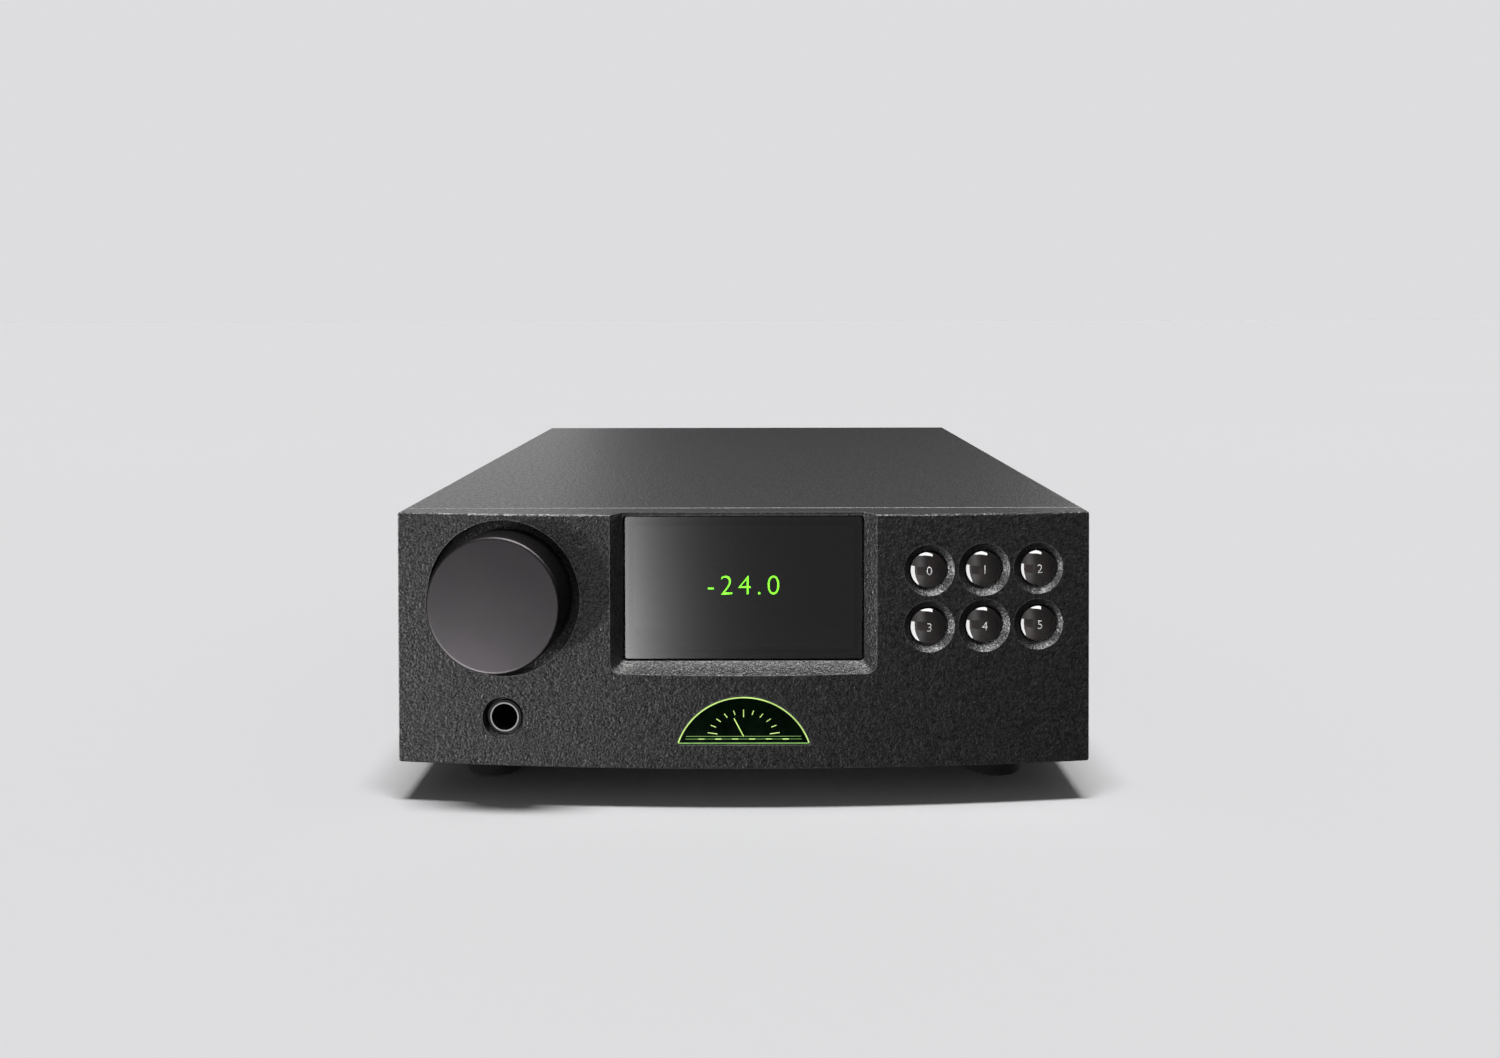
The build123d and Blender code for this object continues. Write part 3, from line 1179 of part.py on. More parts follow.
# ---------------------------------------------------------------- write every piece
pieces = {
    "rubber_feet": rubber_feet,
    "foot_screws": foot_screws,
    "sleeve": sleeve,
    "fascia": fascia,
    "display_window": display_window,
    "window_gasket": window_gasket,
    "display_panel": display_panel,
    "display_board": display_board,
    "volume_knob": volume_knob,
    "knob_set_screw": knob_set_screw,
    "encoder_shaft": encoder_shaft,
    "encoder_body": encoder_body,
    "encoder_nut": encoder_nut,
    **buttons,
    "switch_housings": switch_housings,
    "button_board": button_board,
    "jack_bush": jack_bush,
    "headphone_jack": headphone_jack,
    "headphone_board": headphone_board,
    "badge_lens": badge_lens,
    "badge_light": badge_light,
    "chassis_tray": chassis_tray,
    "mains_transformer": mains_transformer,
    "transformer_pads": transformer_pads,
    "transformer_dish": transformer_dish,
    "transformer_bolt": transformer_bolt,
    "main_board": main_board,
    "input_board": input_board,
    "board_pillars": board_pillars,
    "capacitors": capacitors,
    "signal_chips": signal_chips,
    "heat_sink": heat_sink,
    "regulators": regulators,
    "board_headers": board_headers,
    "ribbon_cables": ribbon_cables,
    "rear_panel": rear_panel,
    "mains_inlet": mains_inlet,
    "inlet_pins": inlet_pins,
    "fuse_drawer": fuse_drawer,
    "fuse": fuse,
    "power_switch_frame": power_switch_frame,
    "power_rocker": power_rocker,
    "ground_switch": ground_switch,
    "ground_slider": ground_slider,
    "rca_shells": rca_shells,
    "bnc_socket": bnc_socket,
    "socket_cores": socket_cores,
    "xlr_shells": xlr_shells,
    "xlr_pins": xlr_pins,
    "usb_socket": usb_socket,
    "optical_sockets": optical_sockets,
    **flaps,
    "power_wires": power_wires,
    "m3_screws": m3_screws,
}

os.makedirs("parts", exist_ok=True)
for name, piece in pieces.items():
    piece.part.label = name
    export_step(piece.part, f"parts/{name}.step")
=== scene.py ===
"""Looks of the desktop converter: finishes, lit and printed details, studio light and camera.

Blender metres in the row frame, where +Z is up, the front faces -Y and +X is to the right of
someone facing it. Lengths in this file are millimetres times MM.
"""

import json
from math import atan2, cos, pi, radians, sin

import bmesh
import bpy
from mathutils import Matrix, Vector
from mathutils.bvhtree import BVHTree

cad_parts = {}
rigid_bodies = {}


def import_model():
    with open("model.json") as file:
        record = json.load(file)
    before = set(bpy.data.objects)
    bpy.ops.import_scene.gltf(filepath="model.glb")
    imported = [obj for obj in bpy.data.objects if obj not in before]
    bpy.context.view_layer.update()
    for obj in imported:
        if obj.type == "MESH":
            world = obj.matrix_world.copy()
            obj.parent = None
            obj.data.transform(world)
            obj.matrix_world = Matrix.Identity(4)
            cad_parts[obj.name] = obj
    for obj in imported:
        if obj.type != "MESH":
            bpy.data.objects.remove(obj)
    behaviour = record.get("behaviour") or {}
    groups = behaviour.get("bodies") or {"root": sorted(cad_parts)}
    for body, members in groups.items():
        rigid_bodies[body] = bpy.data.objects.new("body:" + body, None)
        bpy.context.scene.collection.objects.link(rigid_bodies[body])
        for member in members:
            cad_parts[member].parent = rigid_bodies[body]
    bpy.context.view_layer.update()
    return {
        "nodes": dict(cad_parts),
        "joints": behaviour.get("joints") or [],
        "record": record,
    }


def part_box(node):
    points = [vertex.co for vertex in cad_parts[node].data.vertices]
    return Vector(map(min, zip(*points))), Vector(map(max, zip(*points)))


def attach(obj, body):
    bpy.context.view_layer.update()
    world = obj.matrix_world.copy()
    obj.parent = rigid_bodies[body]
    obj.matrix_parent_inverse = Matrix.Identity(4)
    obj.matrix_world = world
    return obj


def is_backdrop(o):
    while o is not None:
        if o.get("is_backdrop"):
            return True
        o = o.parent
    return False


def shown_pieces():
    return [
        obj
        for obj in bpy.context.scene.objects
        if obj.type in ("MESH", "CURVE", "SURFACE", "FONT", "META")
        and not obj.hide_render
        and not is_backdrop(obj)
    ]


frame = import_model()

MM = 0.001
NODES = frame["nodes"]
JOINTS = {joint["name"]: joint for joint in frame["joints"]}
UP = Vector((0, 0, 1))
FRONT = Vector((0, -1, 0))
BACK = Vector((0, 1, 0))


# ---------------------------------------------------------------- node helpers
def add_node(tree, kind, inputs=None, **properties):
    """A shader node with its properties set and its inputs linked to sockets or given values."""
    node = tree.nodes.new(kind)
    for name, value in properties.items():
        setattr(node, name, value)
    for key, value in (inputs or {}).items():
        if isinstance(value, bpy.types.NodeSocket):
            tree.links.new(value, node.inputs[key])
        else:
            node.inputs[key].default_value = value
    return node


def calculate(tree, operation, *values):
    """The result of one maths node."""
    return add_node(tree, "ShaderNodeMath", dict(enumerate(values)), operation=operation).outputs[0]


def remap(tree, value, low, high, start=0.0, stop=1.0, curve="LINEAR"):
    """The value taken from the range start..stop to low..high, held at both ends."""
    inputs = {"Value": value, "From Min": start, "From Max": stop, "To Min": low, "To Max": high}
    return add_node(tree, "ShaderNodeMapRange", inputs, interpolation_type=curve).outputs["Result"]


def mix_colours(tree, share, first, second):
    """first where share is 0 and second where it is 1."""
    inputs = {0: share, 6: first, 7: second}
    return add_node(tree, "ShaderNodeMix", inputs, data_type="RGBA").outputs[2]


class Finish:
    """A procedural material: one Principled surface, with patterns laid on it step by step.

    Pattern sizes and heights are in millimetres.
    """

    def __init__(self, name, colour, roughness, metallic=0.0, **settings):
        self.material = bpy.data.materials.new(name)
        self.material.use_nodes = True
        self.material.diffuse_color = (*colour, 1.0)
        self.tree = self.material.node_tree
        self.shader = self.tree.nodes["Principled BSDF"]
        self.place = add_node(self.tree, "ShaderNodeTexCoord").outputs["Object"]
        self.colour = (*colour, 1.0)
        self.normal = None
        self.set("Base Color", self.colour)
        self.set("Roughness", roughness)
        self.set("Metallic", metallic)
        for key, value in settings.items():
            self.set(key.replace("_", " ").title().replace("Ior", "IOR"), value)

    def set(self, key, value):
        """Links or sets one input of the surface."""
        if isinstance(value, bpy.types.NodeSocket):
            self.tree.links.new(value, self.shader.inputs[key])
        else:
            self.shader.inputs[key].default_value = value

    def stretched(self, stretch):
        """The place with a pattern drawn out along each axis by stretch."""
        scale = tuple(1 / value for value in stretch)
        return add_node(self.tree, "ShaderNodeMapping", {"Vector": self.place, "Scale": scale}).outputs[0]

    def noise(self, size, detail=2.0, stretch=(1, 1, 1)):
        """Cloudy pattern from 0 to 1 whose blobs measure about size."""
        inputs = {"Vector": self.stretched(stretch), "Scale": 1 / (size * MM), "Detail": detail}
        return remap(self.tree, add_node(self.tree, "ShaderNodeTexNoise", inputs).outputs[0], 0, 1, 0.3, 0.7)

    def grains(self, size):
        """Rounded pebbles of about size: 0 in the joints between them and 1 on top."""
        inputs = {"Vector": self.place, "Scale": 1 / (size * MM)}
        distance = add_node(self.tree, "ShaderNodeTexVoronoi", inputs, feature="SMOOTH_F1").outputs[0]
        return remap(self.tree, distance, 1, 0, 0.0, 0.7)

    def bands(self, pitch, axis):
        """Even ridges of this pitch across an axis."""
        part = add_node(self.tree, "ShaderNodeSeparateXYZ", {0: self.place}).outputs[axis]
        wave = calculate(self.tree, "SINE", calculate(self.tree, "MULTIPLY", part, 2 * pi / (pitch * MM)))
        return remap(self.tree, wave, 0, 1, -1, 1)

    def edges(self, radius):
        """1 along the solid's edges, fading out over radius."""
        rounded = add_node(self.tree, "ShaderNodeBevel", {"Radius": radius * MM}, samples=4).outputs[0]
        flat = add_node(self.tree, "ShaderNodeNewGeometry").outputs["Normal"]
        dot = add_node(self.tree, "ShaderNodeVectorMath", {0: rounded, 1: flat}, operation="DOT_PRODUCT")
        return remap(self.tree, dot.outputs["Value"], 1, 0, 0.80, 0.985)

    def openness(self, reach):
        """1 on open faces, less where walls stand within reach."""
        inputs = {"Distance": reach * MM}
        return add_node(self.tree, "ShaderNodeAmbientOcclusion", inputs, samples=6).outputs["AO"]

    def ledges(self):
        """1 on faces that look upwards."""
        normal = add_node(self.tree, "ShaderNodeNewGeometry").outputs["Normal"]
        upward = add_node(self.tree, "ShaderNodeSeparateXYZ", {0: normal}).outputs[2]
        return remap(self.tree, upward, 0, 1, 0.45, 0.9)

    def tint(self, pattern, colour, share=1.0):
        """Another colour where the pattern is 1, as strongly as share says."""
        amount = calculate(self.tree, "MULTIPLY", pattern, share)
        self.colour = mix_colours(self.tree, amount, self.colour, (*colour, 1.0))
        self.set("Base Color", self.colour)
        return self

    def polish(self, pattern, low, high):
        """Roughness from low where the pattern is 0 to high where it is 1."""
        self.set("Roughness", remap(self.tree, pattern, low, high))
        return self

    def sheen(self, pattern, low, high):
        """Strength of the mirrored light from low where the pattern is 0 to high where it is 1."""
        self.set("Specular IOR Level", remap(self.tree, pattern, low, high))
        return self

    def relief(self, pattern, height):
        """Raises the surface by height where the pattern is 1."""
        inputs = {"Height": pattern, "Distance": height * MM, "Strength": 1.0}
        if self.normal is not None:
            inputs["Normal"] = self.normal
        self.normal = add_node(self.tree, "ShaderNodeBump", inputs).outputs[0]
        self.set("Normal", self.normal)
        return self


# ---------------------------------------------------------------- finishes
COAT_BLACK = (0.002, 0.002, 0.0021)
SPECKLE = 0.55  # size of the glints and pores in the coat, mm
# Colour of the painted light on sheltered upward ledges, such as the sill under the window.
LEDGE_PAINTED_LIGHT = (0.16, 0.157, 0.154)
SHELTER_REACH = 8.0  # how near a wall must stand to bring the painted light on ledges and the painted shade in gaps, mm


def textured_coat(name, grain, depth):
    """Fine-textured powder coat: even pebbles, drifting sheen, edges rubbed a little brighter."""
    coat = Finish(name, COAT_BLACK, 0.42)
    coat.tint(coat.noise(grain * 1.5), (0.008, 0.0078, 0.0079), 0.9)
    coat.tint(coat.edges(0.5), (0.09, 0.09, 0.092), 0.8)
    coat.polish(coat.noise(grain * 2.0), 0.36, 0.50)
    coat.relief(coat.noise(grain, 1.0), depth)
    coat.relief(coat.grains(grain * 2.2), depth * 0.8)
    return coat


def case_coat():
    """Coarse coat of the case: painted light lies on sheltered upward ledges and painted shade keeps narrow
    gaps dark.
    """
    coat = textured_coat("case_coat", 0.75, 0.09)
    openness = coat.openness(SHELTER_REACH)
    # Painted light: sheltered upward ledges are lightened as if lit from overhead.
    painted_ledge_light = calculate(coat.tree, "MULTIPLY", coat.ledges(), remap(coat.tree, openness, 1, 0, 0.65, 0.9))
    coat.tint(calculate(coat.tree, "MULTIPLY", painted_ledge_light, coat.noise(SPECKLE)), LEDGE_PAINTED_LIGHT)
    # Painted shade: the coat's sheen dies away in narrow gaps and recesses.
    free_of_painted_shade = remap(coat.tree, openness, 0, 1, 0.25, 0.5)
    coat.sheen(calculate(coat.tree, "MULTIPLY", coat.noise(SPECKLE, 1.0), free_of_painted_shade), 0.15, 0.85)
    return coat.material


def panel_coat():
    """Finer, flatter coat of the back panel."""
    coat = textured_coat("panel_coat", 0.4, 0.02)
    coat.sheen(coat.noise(SPECKLE, 1.0), 0.15, 0.85)
    return coat.material


def tray_sheet():
    """Zinc-plated sheet with rolling marks and cloudy patches."""
    sheet = Finish("tray_sheet", (0.55, 0.56, 0.58), 0.35, 1.0)
    sheet.tint(sheet.noise(14, 4.0), (0.42, 0.44, 0.47), 0.7)
    sheet.polish(sheet.noise(9), 0.26, 0.44)
    sheet.relief(sheet.noise(0.5, 2.0, (1, 30, 1)), 0.01)
    return sheet.material


def foot_rubber():
    """Matt moulded rubber, dusty towards its edges."""
    rubber = Finish("foot_rubber", (0.016, 0.016, 0.016), 0.8)
    rubber.tint(rubber.noise(5), (0.026, 0.025, 0.024), 0.8)
    rubber.tint(rubber.edges(0.8), (0.07, 0.07, 0.07), 0.5)
    rubber.relief(rubber.noise(0.25), 0.02)
    return rubber.material


def plated(name, colour, roughness):
    """Plated or oxidised metal: small drifts of tone, fine turning marks and bright rubbed edges."""
    metal = Finish(name, colour, roughness, 1.0)
    dull = tuple(part * 0.72 for part in colour)
    bright = tuple(min(1.0, part * 1.35 + 0.04) for part in colour)
    metal.tint(metal.noise(3), dull, 0.7)
    metal.tint(metal.edges(0.25), bright, 0.7)
    metal.polish(metal.noise(1.8, 3.0), roughness * 0.75, roughness * 1.35)
    metal.relief(metal.noise(0.4, 2.0), 0.004)
    return metal.material


def zinc_screw():
    return plated("zinc_screw", (0.62, 0.63, 0.66), 0.3)


def black_screw():
    return plated("black_screw", (0.045, 0.045, 0.047), 0.38)


def plain_steel():
    return plated("plain_steel", (0.56, 0.56, 0.58), 0.34)


def plated_nut():
    return plated("plated_nut", (0.70, 0.69, 0.66), 0.2)


def jack_chrome():
    return plated("jack_chrome", (0.44, 0.44, 0.44), 0.2)


def pillar_brass():
    return plated("pillar_brass", (0.72, 0.58, 0.32), 0.3)


def socket_gold():
    return plated("socket_gold", (0.90, 0.66, 0.26), 0.2)


def smoked_glass():
    """Polished smoked pane with the faintest waviness."""
    glass = Finish("smoked_glass", (0.08, 0.083, 0.085), 0.0, transmission_weight=1.0, ior=1.5)
    glass.polish(glass.noise(25), 0.0, 0.012)
    glass.relief(glass.noise(30, 1.0), 0.0015)
    return glass.material


def black_foam():
    """Closed-cell foam: small pits on a dull skin."""
    foam = Finish("black_foam", (0.02, 0.02, 0.02), 0.9)
    foam.tint(foam.grains(0.5), (0.035, 0.035, 0.035), 0.8)
    foam.relief(foam.grains(0.5), 0.08)
    return foam.material


def display_glass():
    """Dark display: a barely visible grid of picture cells under a satin face."""
    face = Finish("display_glass", (0.004, 0.005, 0.005), 0.3)
    cells = calculate(face.tree, "MULTIPLY", face.bands(0.3, 0), face.bands(0.3, 2))
    face.tint(cells, (0.010, 0.013, 0.011), 0.8)
    face.polish(face.noise(12), 0.25, 0.4)
    return face.material


def board_green():
    """Solder mask over woven glass cloth, with darker copper areas under it."""
    board = Finish("board_green", (0.010, 0.11, 0.045), 0.3, coat_weight=0.4)
    weave = calculate(board.tree, "MULTIPLY", board.bands(0.8, 0), board.bands(0.8, 1))
    board.tint(weave, (0.016, 0.15, 0.06), 0.35)
    board.tint(board.noise(9, 0.0), (0.006, 0.07, 0.03), 0.8)
    board.polish(board.noise(4), 0.22, 0.38)
    board.relief(weave, 0.01)
    return board.material


def knob_anodised():
    """Satin anodised aluminium: bead-blasted, with a faint warm drift and a bright turned edge."""
    metal = Finish("knob_anodised", (0.028, 0.0265, 0.0277), 0.38, 1.0)
    metal.tint(metal.noise(16, 1.0), (0.033, 0.0295, 0.032), 0.6)
    metal.tint(metal.edges(0.7), (0.10, 0.097, 0.10), 0.6)
    metal.polish(metal.noise(0.6), 0.34, 0.42)
    metal.relief(metal.noise(0.25), 0.006)
    return metal.material


def button_gloss():
    """Polished black resin with a thin clear skin and hairline polishing marks."""
    resin = Finish("button_gloss", (0.010, 0.010, 0.010), 0.06, coat_weight=0.3, coat_roughness=0.02)
    resin.tint(resin.noise(2.5), (0.016, 0.013, 0.012), 0.8)
    resin.polish(resin.noise(1.2, 4.0), 0.04, 0.09)
    resin.relief(resin.noise(0.15, 2.0), 0.0004)
    return resin.material


def black_plastic():
    """Spark-textured black moulding."""
    plastic = Finish("black_plastic", (0.016, 0.016, 0.017), 0.42)
    plastic.tint(plastic.noise(2), (0.024, 0.024, 0.025), 0.7)
    plastic.tint(plastic.edges(0.3), (0.06, 0.06, 0.06), 0.5)
    plastic.polish(plastic.noise(5), 0.34, 0.5)
    plastic.relief(plastic.noise(0.2), 0.012)
    return plastic.material


def badge_acrylic():
    """Near-black green acrylic that carries light along its edges."""
    acrylic = Finish("badge_acrylic", (0.0006, 0.0022, 0.0010), 0.08)
    acrylic.tint(acrylic.noise(6), (0.0012, 0.0045, 0.0016), 0.8)
    acrylic.polish(acrylic.noise(3), 0.06, 0.14)
    return acrylic.material


def transformer_tape():
    """Polyester tape wound round a ring core: overlapping turns seen through a yellow film."""
    tape = Finish("transformer_tape", (0.62, 0.44, 0.05), 0.3, coat_weight=0.5)
    tape.tint(tape.noise(1.5, 3.0, (1, 1, 12)), (0.42, 0.27, 0.03), 0.8)
    tape.polish(tape.noise(4), 0.2, 0.42)
    tape.relief(tape.noise(2.0, 1.0, (1, 1, 10)), 0.25)
    return tape.material


def capacitor_sleeve():
    """Shrink sleeve: glossy, slightly puckered."""
    sleeve = Finish("capacitor_sleeve", (0.012, 0.018, 0.06), 0.25, coat_weight=0.3)
    sleeve.tint(sleeve.noise(4), (0.02, 0.03, 0.09), 0.7)
    sleeve.relief(sleeve.noise(2.0, 2.0, (1, 1, 5)), 0.05)
    return sleeve.material


def sink_aluminium():
    """Black anodised extrusion with die lines along its fins."""
    sink = Finish("sink_aluminium", (0.06, 0.06, 0.065), 0.42, 1.0)
    sink.tint(sink.edges(0.3), (0.2, 0.2, 0.21), 0.6)
    sink.relief(sink.noise(0.3, 2.0, (1, 1, 40)), 0.02)
    return sink.material


def header_plastic():
    """Cream glass-filled nylon."""
    nylon = Finish("header_plastic", (0.66, 0.62, 0.50), 0.45)
    nylon.tint(nylon.noise(1.2, 4.0), (0.54, 0.50, 0.38), 0.6)
    nylon.relief(nylon.noise(0.3), 0.02)
    return nylon.material


def ribbon_grey():
    """Flat cable: a rounded rib for each wire."""
    cable = Finish("ribbon_grey", (0.40, 0.40, 0.42), 0.5)
    ribs = cable.bands(1.27, 0)
    cable.tint(ribs, (0.50, 0.50, 0.52), 0.6)
    cable.relief(ribs, 0.3)
    return cable.material


def fuse_glass():
    """Clear glass tube with small draw lines."""
    tube = Finish("fuse_glass", (0.80, 0.86, 0.86), 0.03, transmission_weight=0.8)
    tube.relief(tube.noise(0.8, 2.0, (20, 1, 1)), 0.01)
    return tube.material


def core_plastic():
    """Turned white insulator, a little yellowed."""
    core = Finish("core_plastic", (0.74, 0.74, 0.70), 0.35)
    core.tint(core.noise(2), (0.66, 0.64, 0.56), 0.6)
    core.tint(core.edges(0.25), (0.85, 0.85, 0.83), 0.5)
    core.relief(core.noise(0.2, 1.0), 0.01)
    return core.material


def wire_sleeve():
    """Insulated wire with a waxy drift of colour."""
    wire = Finish("wire_sleeve", (0.28, 0.08, 0.03), 0.4)
    wire.tint(wire.noise(6), (0.36, 0.12, 0.05), 0.8)
    wire.relief(wire.noise(0.5), 0.03)
    return wire.material


def glow(name, colour, strength, size):
    """Lit plastic: its light ebbs and swells a little along its length."""
    lit = Finish(name, (0.02, 0.03, 0.01), 0.3, emission_color=(*colour, 1.0))
    lit.set("Emission Strength", remap(lit.tree, lit.noise(size), strength * 0.75, strength * 1.2))
    return lit.material


def printed(name, colour):
    """Silk-screened ink: slightly uneven cover and a dry surface."""
    ink = Finish(name, colour, 0.45)
    thin = tuple(part * 0.8 for part in colour)
    ink.tint(ink.noise(0.4, 3.0), thin, 0.7)
    ink.relief(ink.noise(0.15), 0.006)
    return ink.material


def moulded_ring(name, colour):
    """Coloured insulating washer, lightly scuffed."""
    ring = Finish(name, colour, 0.35)
    ring.tint(ring.noise(1.5, 3.0), tuple(part * 0.75 for part in colour), 0.7)
    ring.relief(ring.noise(0.3), 0.01)
    return ring.material


CAD_FINISHES = [
    case_coat, panel_coat, tray_sheet, foot_rubber, zinc_screw, black_screw, smoked_glass,
    black_foam, display_glass, board_green, knob_anodised, plain_steel, plated_nut, button_gloss,
    black_plastic, jack_chrome, badge_acrylic, transformer_tape, pillar_brass, capacitor_sleeve,
    sink_aluminium, header_plastic, ribbon_grey, fuse_glass, socket_gold, core_plastic, wire_sleeve,
]


def finish_cad_nodes():
    """Gives every CAD node the finish that its record's material slot names."""
    slots = {part["node"]: part["material_slot"] for part in frame["record"]["subparts"]}
    finishes = {make.__name__: make for make in CAD_FINISHES}
    made = {}
    for name, node in NODES.items():
        slot = slots[name]
        if slot not in made:
            made[slot] = finishes[slot]()
        for place in node.material_slots:
            place.material = made[slot]


finish_cad_nodes()


# ---------------------------------------------------------------- mesh helpers
def new_piece(name, shape, material, body):
    """Turns a bmesh whose corners stand in the row frame into a piece that rides on a body."""
    mesh = bpy.data.meshes.new(name)
    bmesh.ops.recalc_face_normals(shape, faces=shape.faces)
    shape.to_mesh(mesh)
    shape.free()
    mesh.materials.append(material)
    piece = bpy.data.objects.new(name, mesh)
    bpy.context.scene.collection.objects.link(piece)
    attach(piece, body)
    return piece


def figures(text, height, spacing=1.0, weight=0.0):
    """Flat outline of figures as a bmesh in X and Y, centred, this tall; weight fattens their strokes."""
    curve = bpy.data.curves.new("figures", "FONT")
    curve.body = text
    curve.resolution_u = 8
    curve.space_character = spacing
    curve.offset = weight
    holder = bpy.data.objects.new("figures", curve)
    bpy.context.scene.collection.objects.link(holder)
    bpy.context.view_layer.update()
    flat = bpy.data.meshes.new_from_object(holder)
    shape = bmesh.new()
    shape.from_mesh(flat)
    bpy.data.objects.remove(holder)
    bpy.data.curves.remove(curve)
    bpy.data.meshes.remove(flat)
    bmesh.ops.remove_doubles(shape, verts=shape.verts, dist=1e-5)
    low = Vector([min(corner.co[axis] for corner in shape.verts) for axis in range(3)])
    high = Vector([max(corner.co[axis] for corner in shape.verts) for axis in range(3)])
    scale = height / (high.y - low.y)
    bmesh.ops.translate(shape, vec=-(low + high) / 2, verts=shape.verts)
    bmesh.ops.scale(shape, vec=(scale, scale, scale), verts=shape.verts)
    return shape


def bar(width, height):
    """Flat upright bar with round ends."""
    return outline([
        (x + width / 2 * cos(angle), y + width / 2 * sin(angle))
        for x, y, start in ((0, height / 2 - width / 2, 0), (0, width / 2 - height / 2, pi))
        for angle in (start + pi * step / 8 for step in range(9))
    ])


def ring(inner, outer, steps=48):
    """Flat ring."""
    shape = bmesh.new()
    angles = [2 * pi * k / steps for k in range(steps)]
    loops = [
        [shape.verts.new((radius * cos(angle), radius * sin(angle), 0)) for angle in angles]
        for radius in (inner, outer)
    ]
    for k in range(steps):
        after = (k + 1) % steps
        shape.faces.new((loops[0][k], loops[0][after], loops[1][after], loops[1][k]))
    return shape


def outline(points):
    """Flat face through the points."""
    shape = bmesh.new()
    shape.faces.new([shape.verts.new((x, y, 0)) for x, y in points])
    return shape


def dice(shape, step):
    """Cuts a flat shape into squares no wider than step, so that it can follow a dome."""
    reach = max(max(abs(corner.co.x), abs(corner.co.y)) for corner in shape.verts)
    for normal in (Vector((1, 0, 0)), Vector((0, 1, 0))):
        for k in range(-int(reach / step), int(reach / step) + 1):
            everything = shape.verts[:] + shape.edges[:] + shape.faces[:]
            bmesh.ops.bisect_plane(shape, geom=everything, plane_co=normal * step * k, plane_no=normal)
    return shape


def thicken(shape, thickness):
    """Gives a flat shape a back, that far behind it, and walls."""
    made = bmesh.ops.extrude_face_region(shape, geom=shape.faces[:])
    moved = [part for part in made["geom"] if isinstance(part, bmesh.types.BMVert)]
    bmesh.ops.translate(shape, vec=(0, 0, -thickness), verts=moved)
    return shape


def facing(origin, normal):
    """Matrix of a place whose z axis is the normal and whose y axis points up."""
    z = Vector(normal).normalized()
    x = UP.cross(z).normalized()
    y = z.cross(x)
    turned = Matrix((x, y, z)).transposed().to_4x4()
    return Matrix.Translation(Vector(origin)) @ turned


PROBE_START = 20 * MM  # how far outside the surface the search for it begins


def lay_on(shape, place, node, lift):
    """Drops a thickened flat shape onto a node's surface, its face lift above the surface."""
    surface = BVHTree.FromObject(NODES[node], bpy.context.evaluated_depsgraph_get())
    inward = -place.col[2].to_3d()
    for corner in shape.verts:
        depth = corner.co.z
        above = place @ Vector((corner.co.x, corner.co.y, 0)) - inward * PROBE_START
        hit = surface.ray_cast(above, inward)[0]
        corner.co = hit - inward * (lift + depth)
    return shape


INK = 0.04 * MM  # thickness of a printed mark above the surface
SUNK = 0.03 * MM  # and how far its back is let into the surface


def print_on(name, shape, place, node, body, material):
    """A printed mark laid on a node's surface."""
    thicken(shape, INK + SUNK)
    lay_on(shape, place, node, INK)
    return new_piece(name, shape, material, body)


def middle(node):
    """Centre of a node's box."""
    low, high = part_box(node)
    return (low + high) / 2


# ---------------------------------------------------------------- button figures
WHITE_INK = printed("figure_white", (0.45, 0.45, 0.45))
BUTTONS = 6
BUTTON_FIGURE = 2.5 * MM  # height of a figure
DOME_STEP = 0.35 * MM  # longest stretch of a figure that stays flat on the dome


def button_figures():
    """One figure on each button's dome, pressed in with it."""
    for number in range(BUTTONS):
        button = f"source_button_{number}"
        normal = -Vector(JOINTS[f"button_press_{number}"]["axis"])
        shape = dice(figures(str(number), BUTTON_FIGURE, weight=-0.012), DOME_STEP)
        place = facing(middle(button), normal)
        print_on(f"button_figure_{number}", shape, place, button, f"button_body_{number}", WHITE_INK)


button_figures()


# ---------------------------------------------------------------- lit display
READING_HEIGHT = 5.7 * MM
READING_THICKNESS = 0.1 * MM
READING_RISE = 1.0 * MM  # above the panel's middle
PANEL_RECESS = 0.4 * MM  # depth of the picture area behind the display panel's rim
READING_LEAD = 0.15 * MM  # how far the reading's face stands ahead of the picture area


def display_reading():
    """The volume reading, floating just in front of the display panel."""
    low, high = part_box("display_panel")
    shape = figures("-24.0", READING_HEIGHT, 1.3, -0.018)
    thicken(shape, READING_THICKNESS)
    depth = low.y + PANEL_RECESS - READING_LEAD
    place = facing(((low.x + high.x) / 2, depth, (low.z + high.z) / 2 + READING_RISE), FRONT)
    bmesh.ops.transform(shape, matrix=place, verts=shape.verts)
    lit = glow("display_green", (0.16, 0.80, 0.02), 36.0, 1.5)
    new_piece("display_reading", shape, lit, "case")


display_reading()


# ---------------------------------------------------------------- edge-lit badge
def half_round(half, rise, steps):
    """Points of the low arch that stands on a base line, from right to left."""
    radius = (half**2 + rise**2) / (2 * rise)
    spread = atan2(half, radius - rise)
    angles = [spread - 2 * spread * k / steps for k in range(steps + 1)]
    return [Vector((radius * sin(angle), rise - radius + radius * cos(angle))) for angle in angles]


def ridge(shape, path, width, height, sides=6):
    """Adds a ridge with a half-round top along an open path in X and Y, closed at its ends and foot."""
    rows = []
    for k, point in enumerate(path):
        before, after = path[max(k - 1, 0)], path[min(k + 1, len(path) - 1)]
        along = (after - before).normalized()
        across = Vector((-along.y, along.x))
        row = []
        for side in range(sides + 1):
            angle = pi * side / sides
            flat = point + across * (width / 2 * cos(angle))
            row.append(shape.verts.new((flat.x, flat.y, height * sin(angle))))
        rows.append(row)
    for first, second in zip(rows, rows[1:]):
        for side in range(sides):
            shape.faces.new((first[side], first[side + 1], second[side + 1], second[side]))
        shape.faces.new((first[sides], first[0], second[0], second[sides]))
    shape.faces.new(rows[0])
    shape.faces.new(rows[-1])


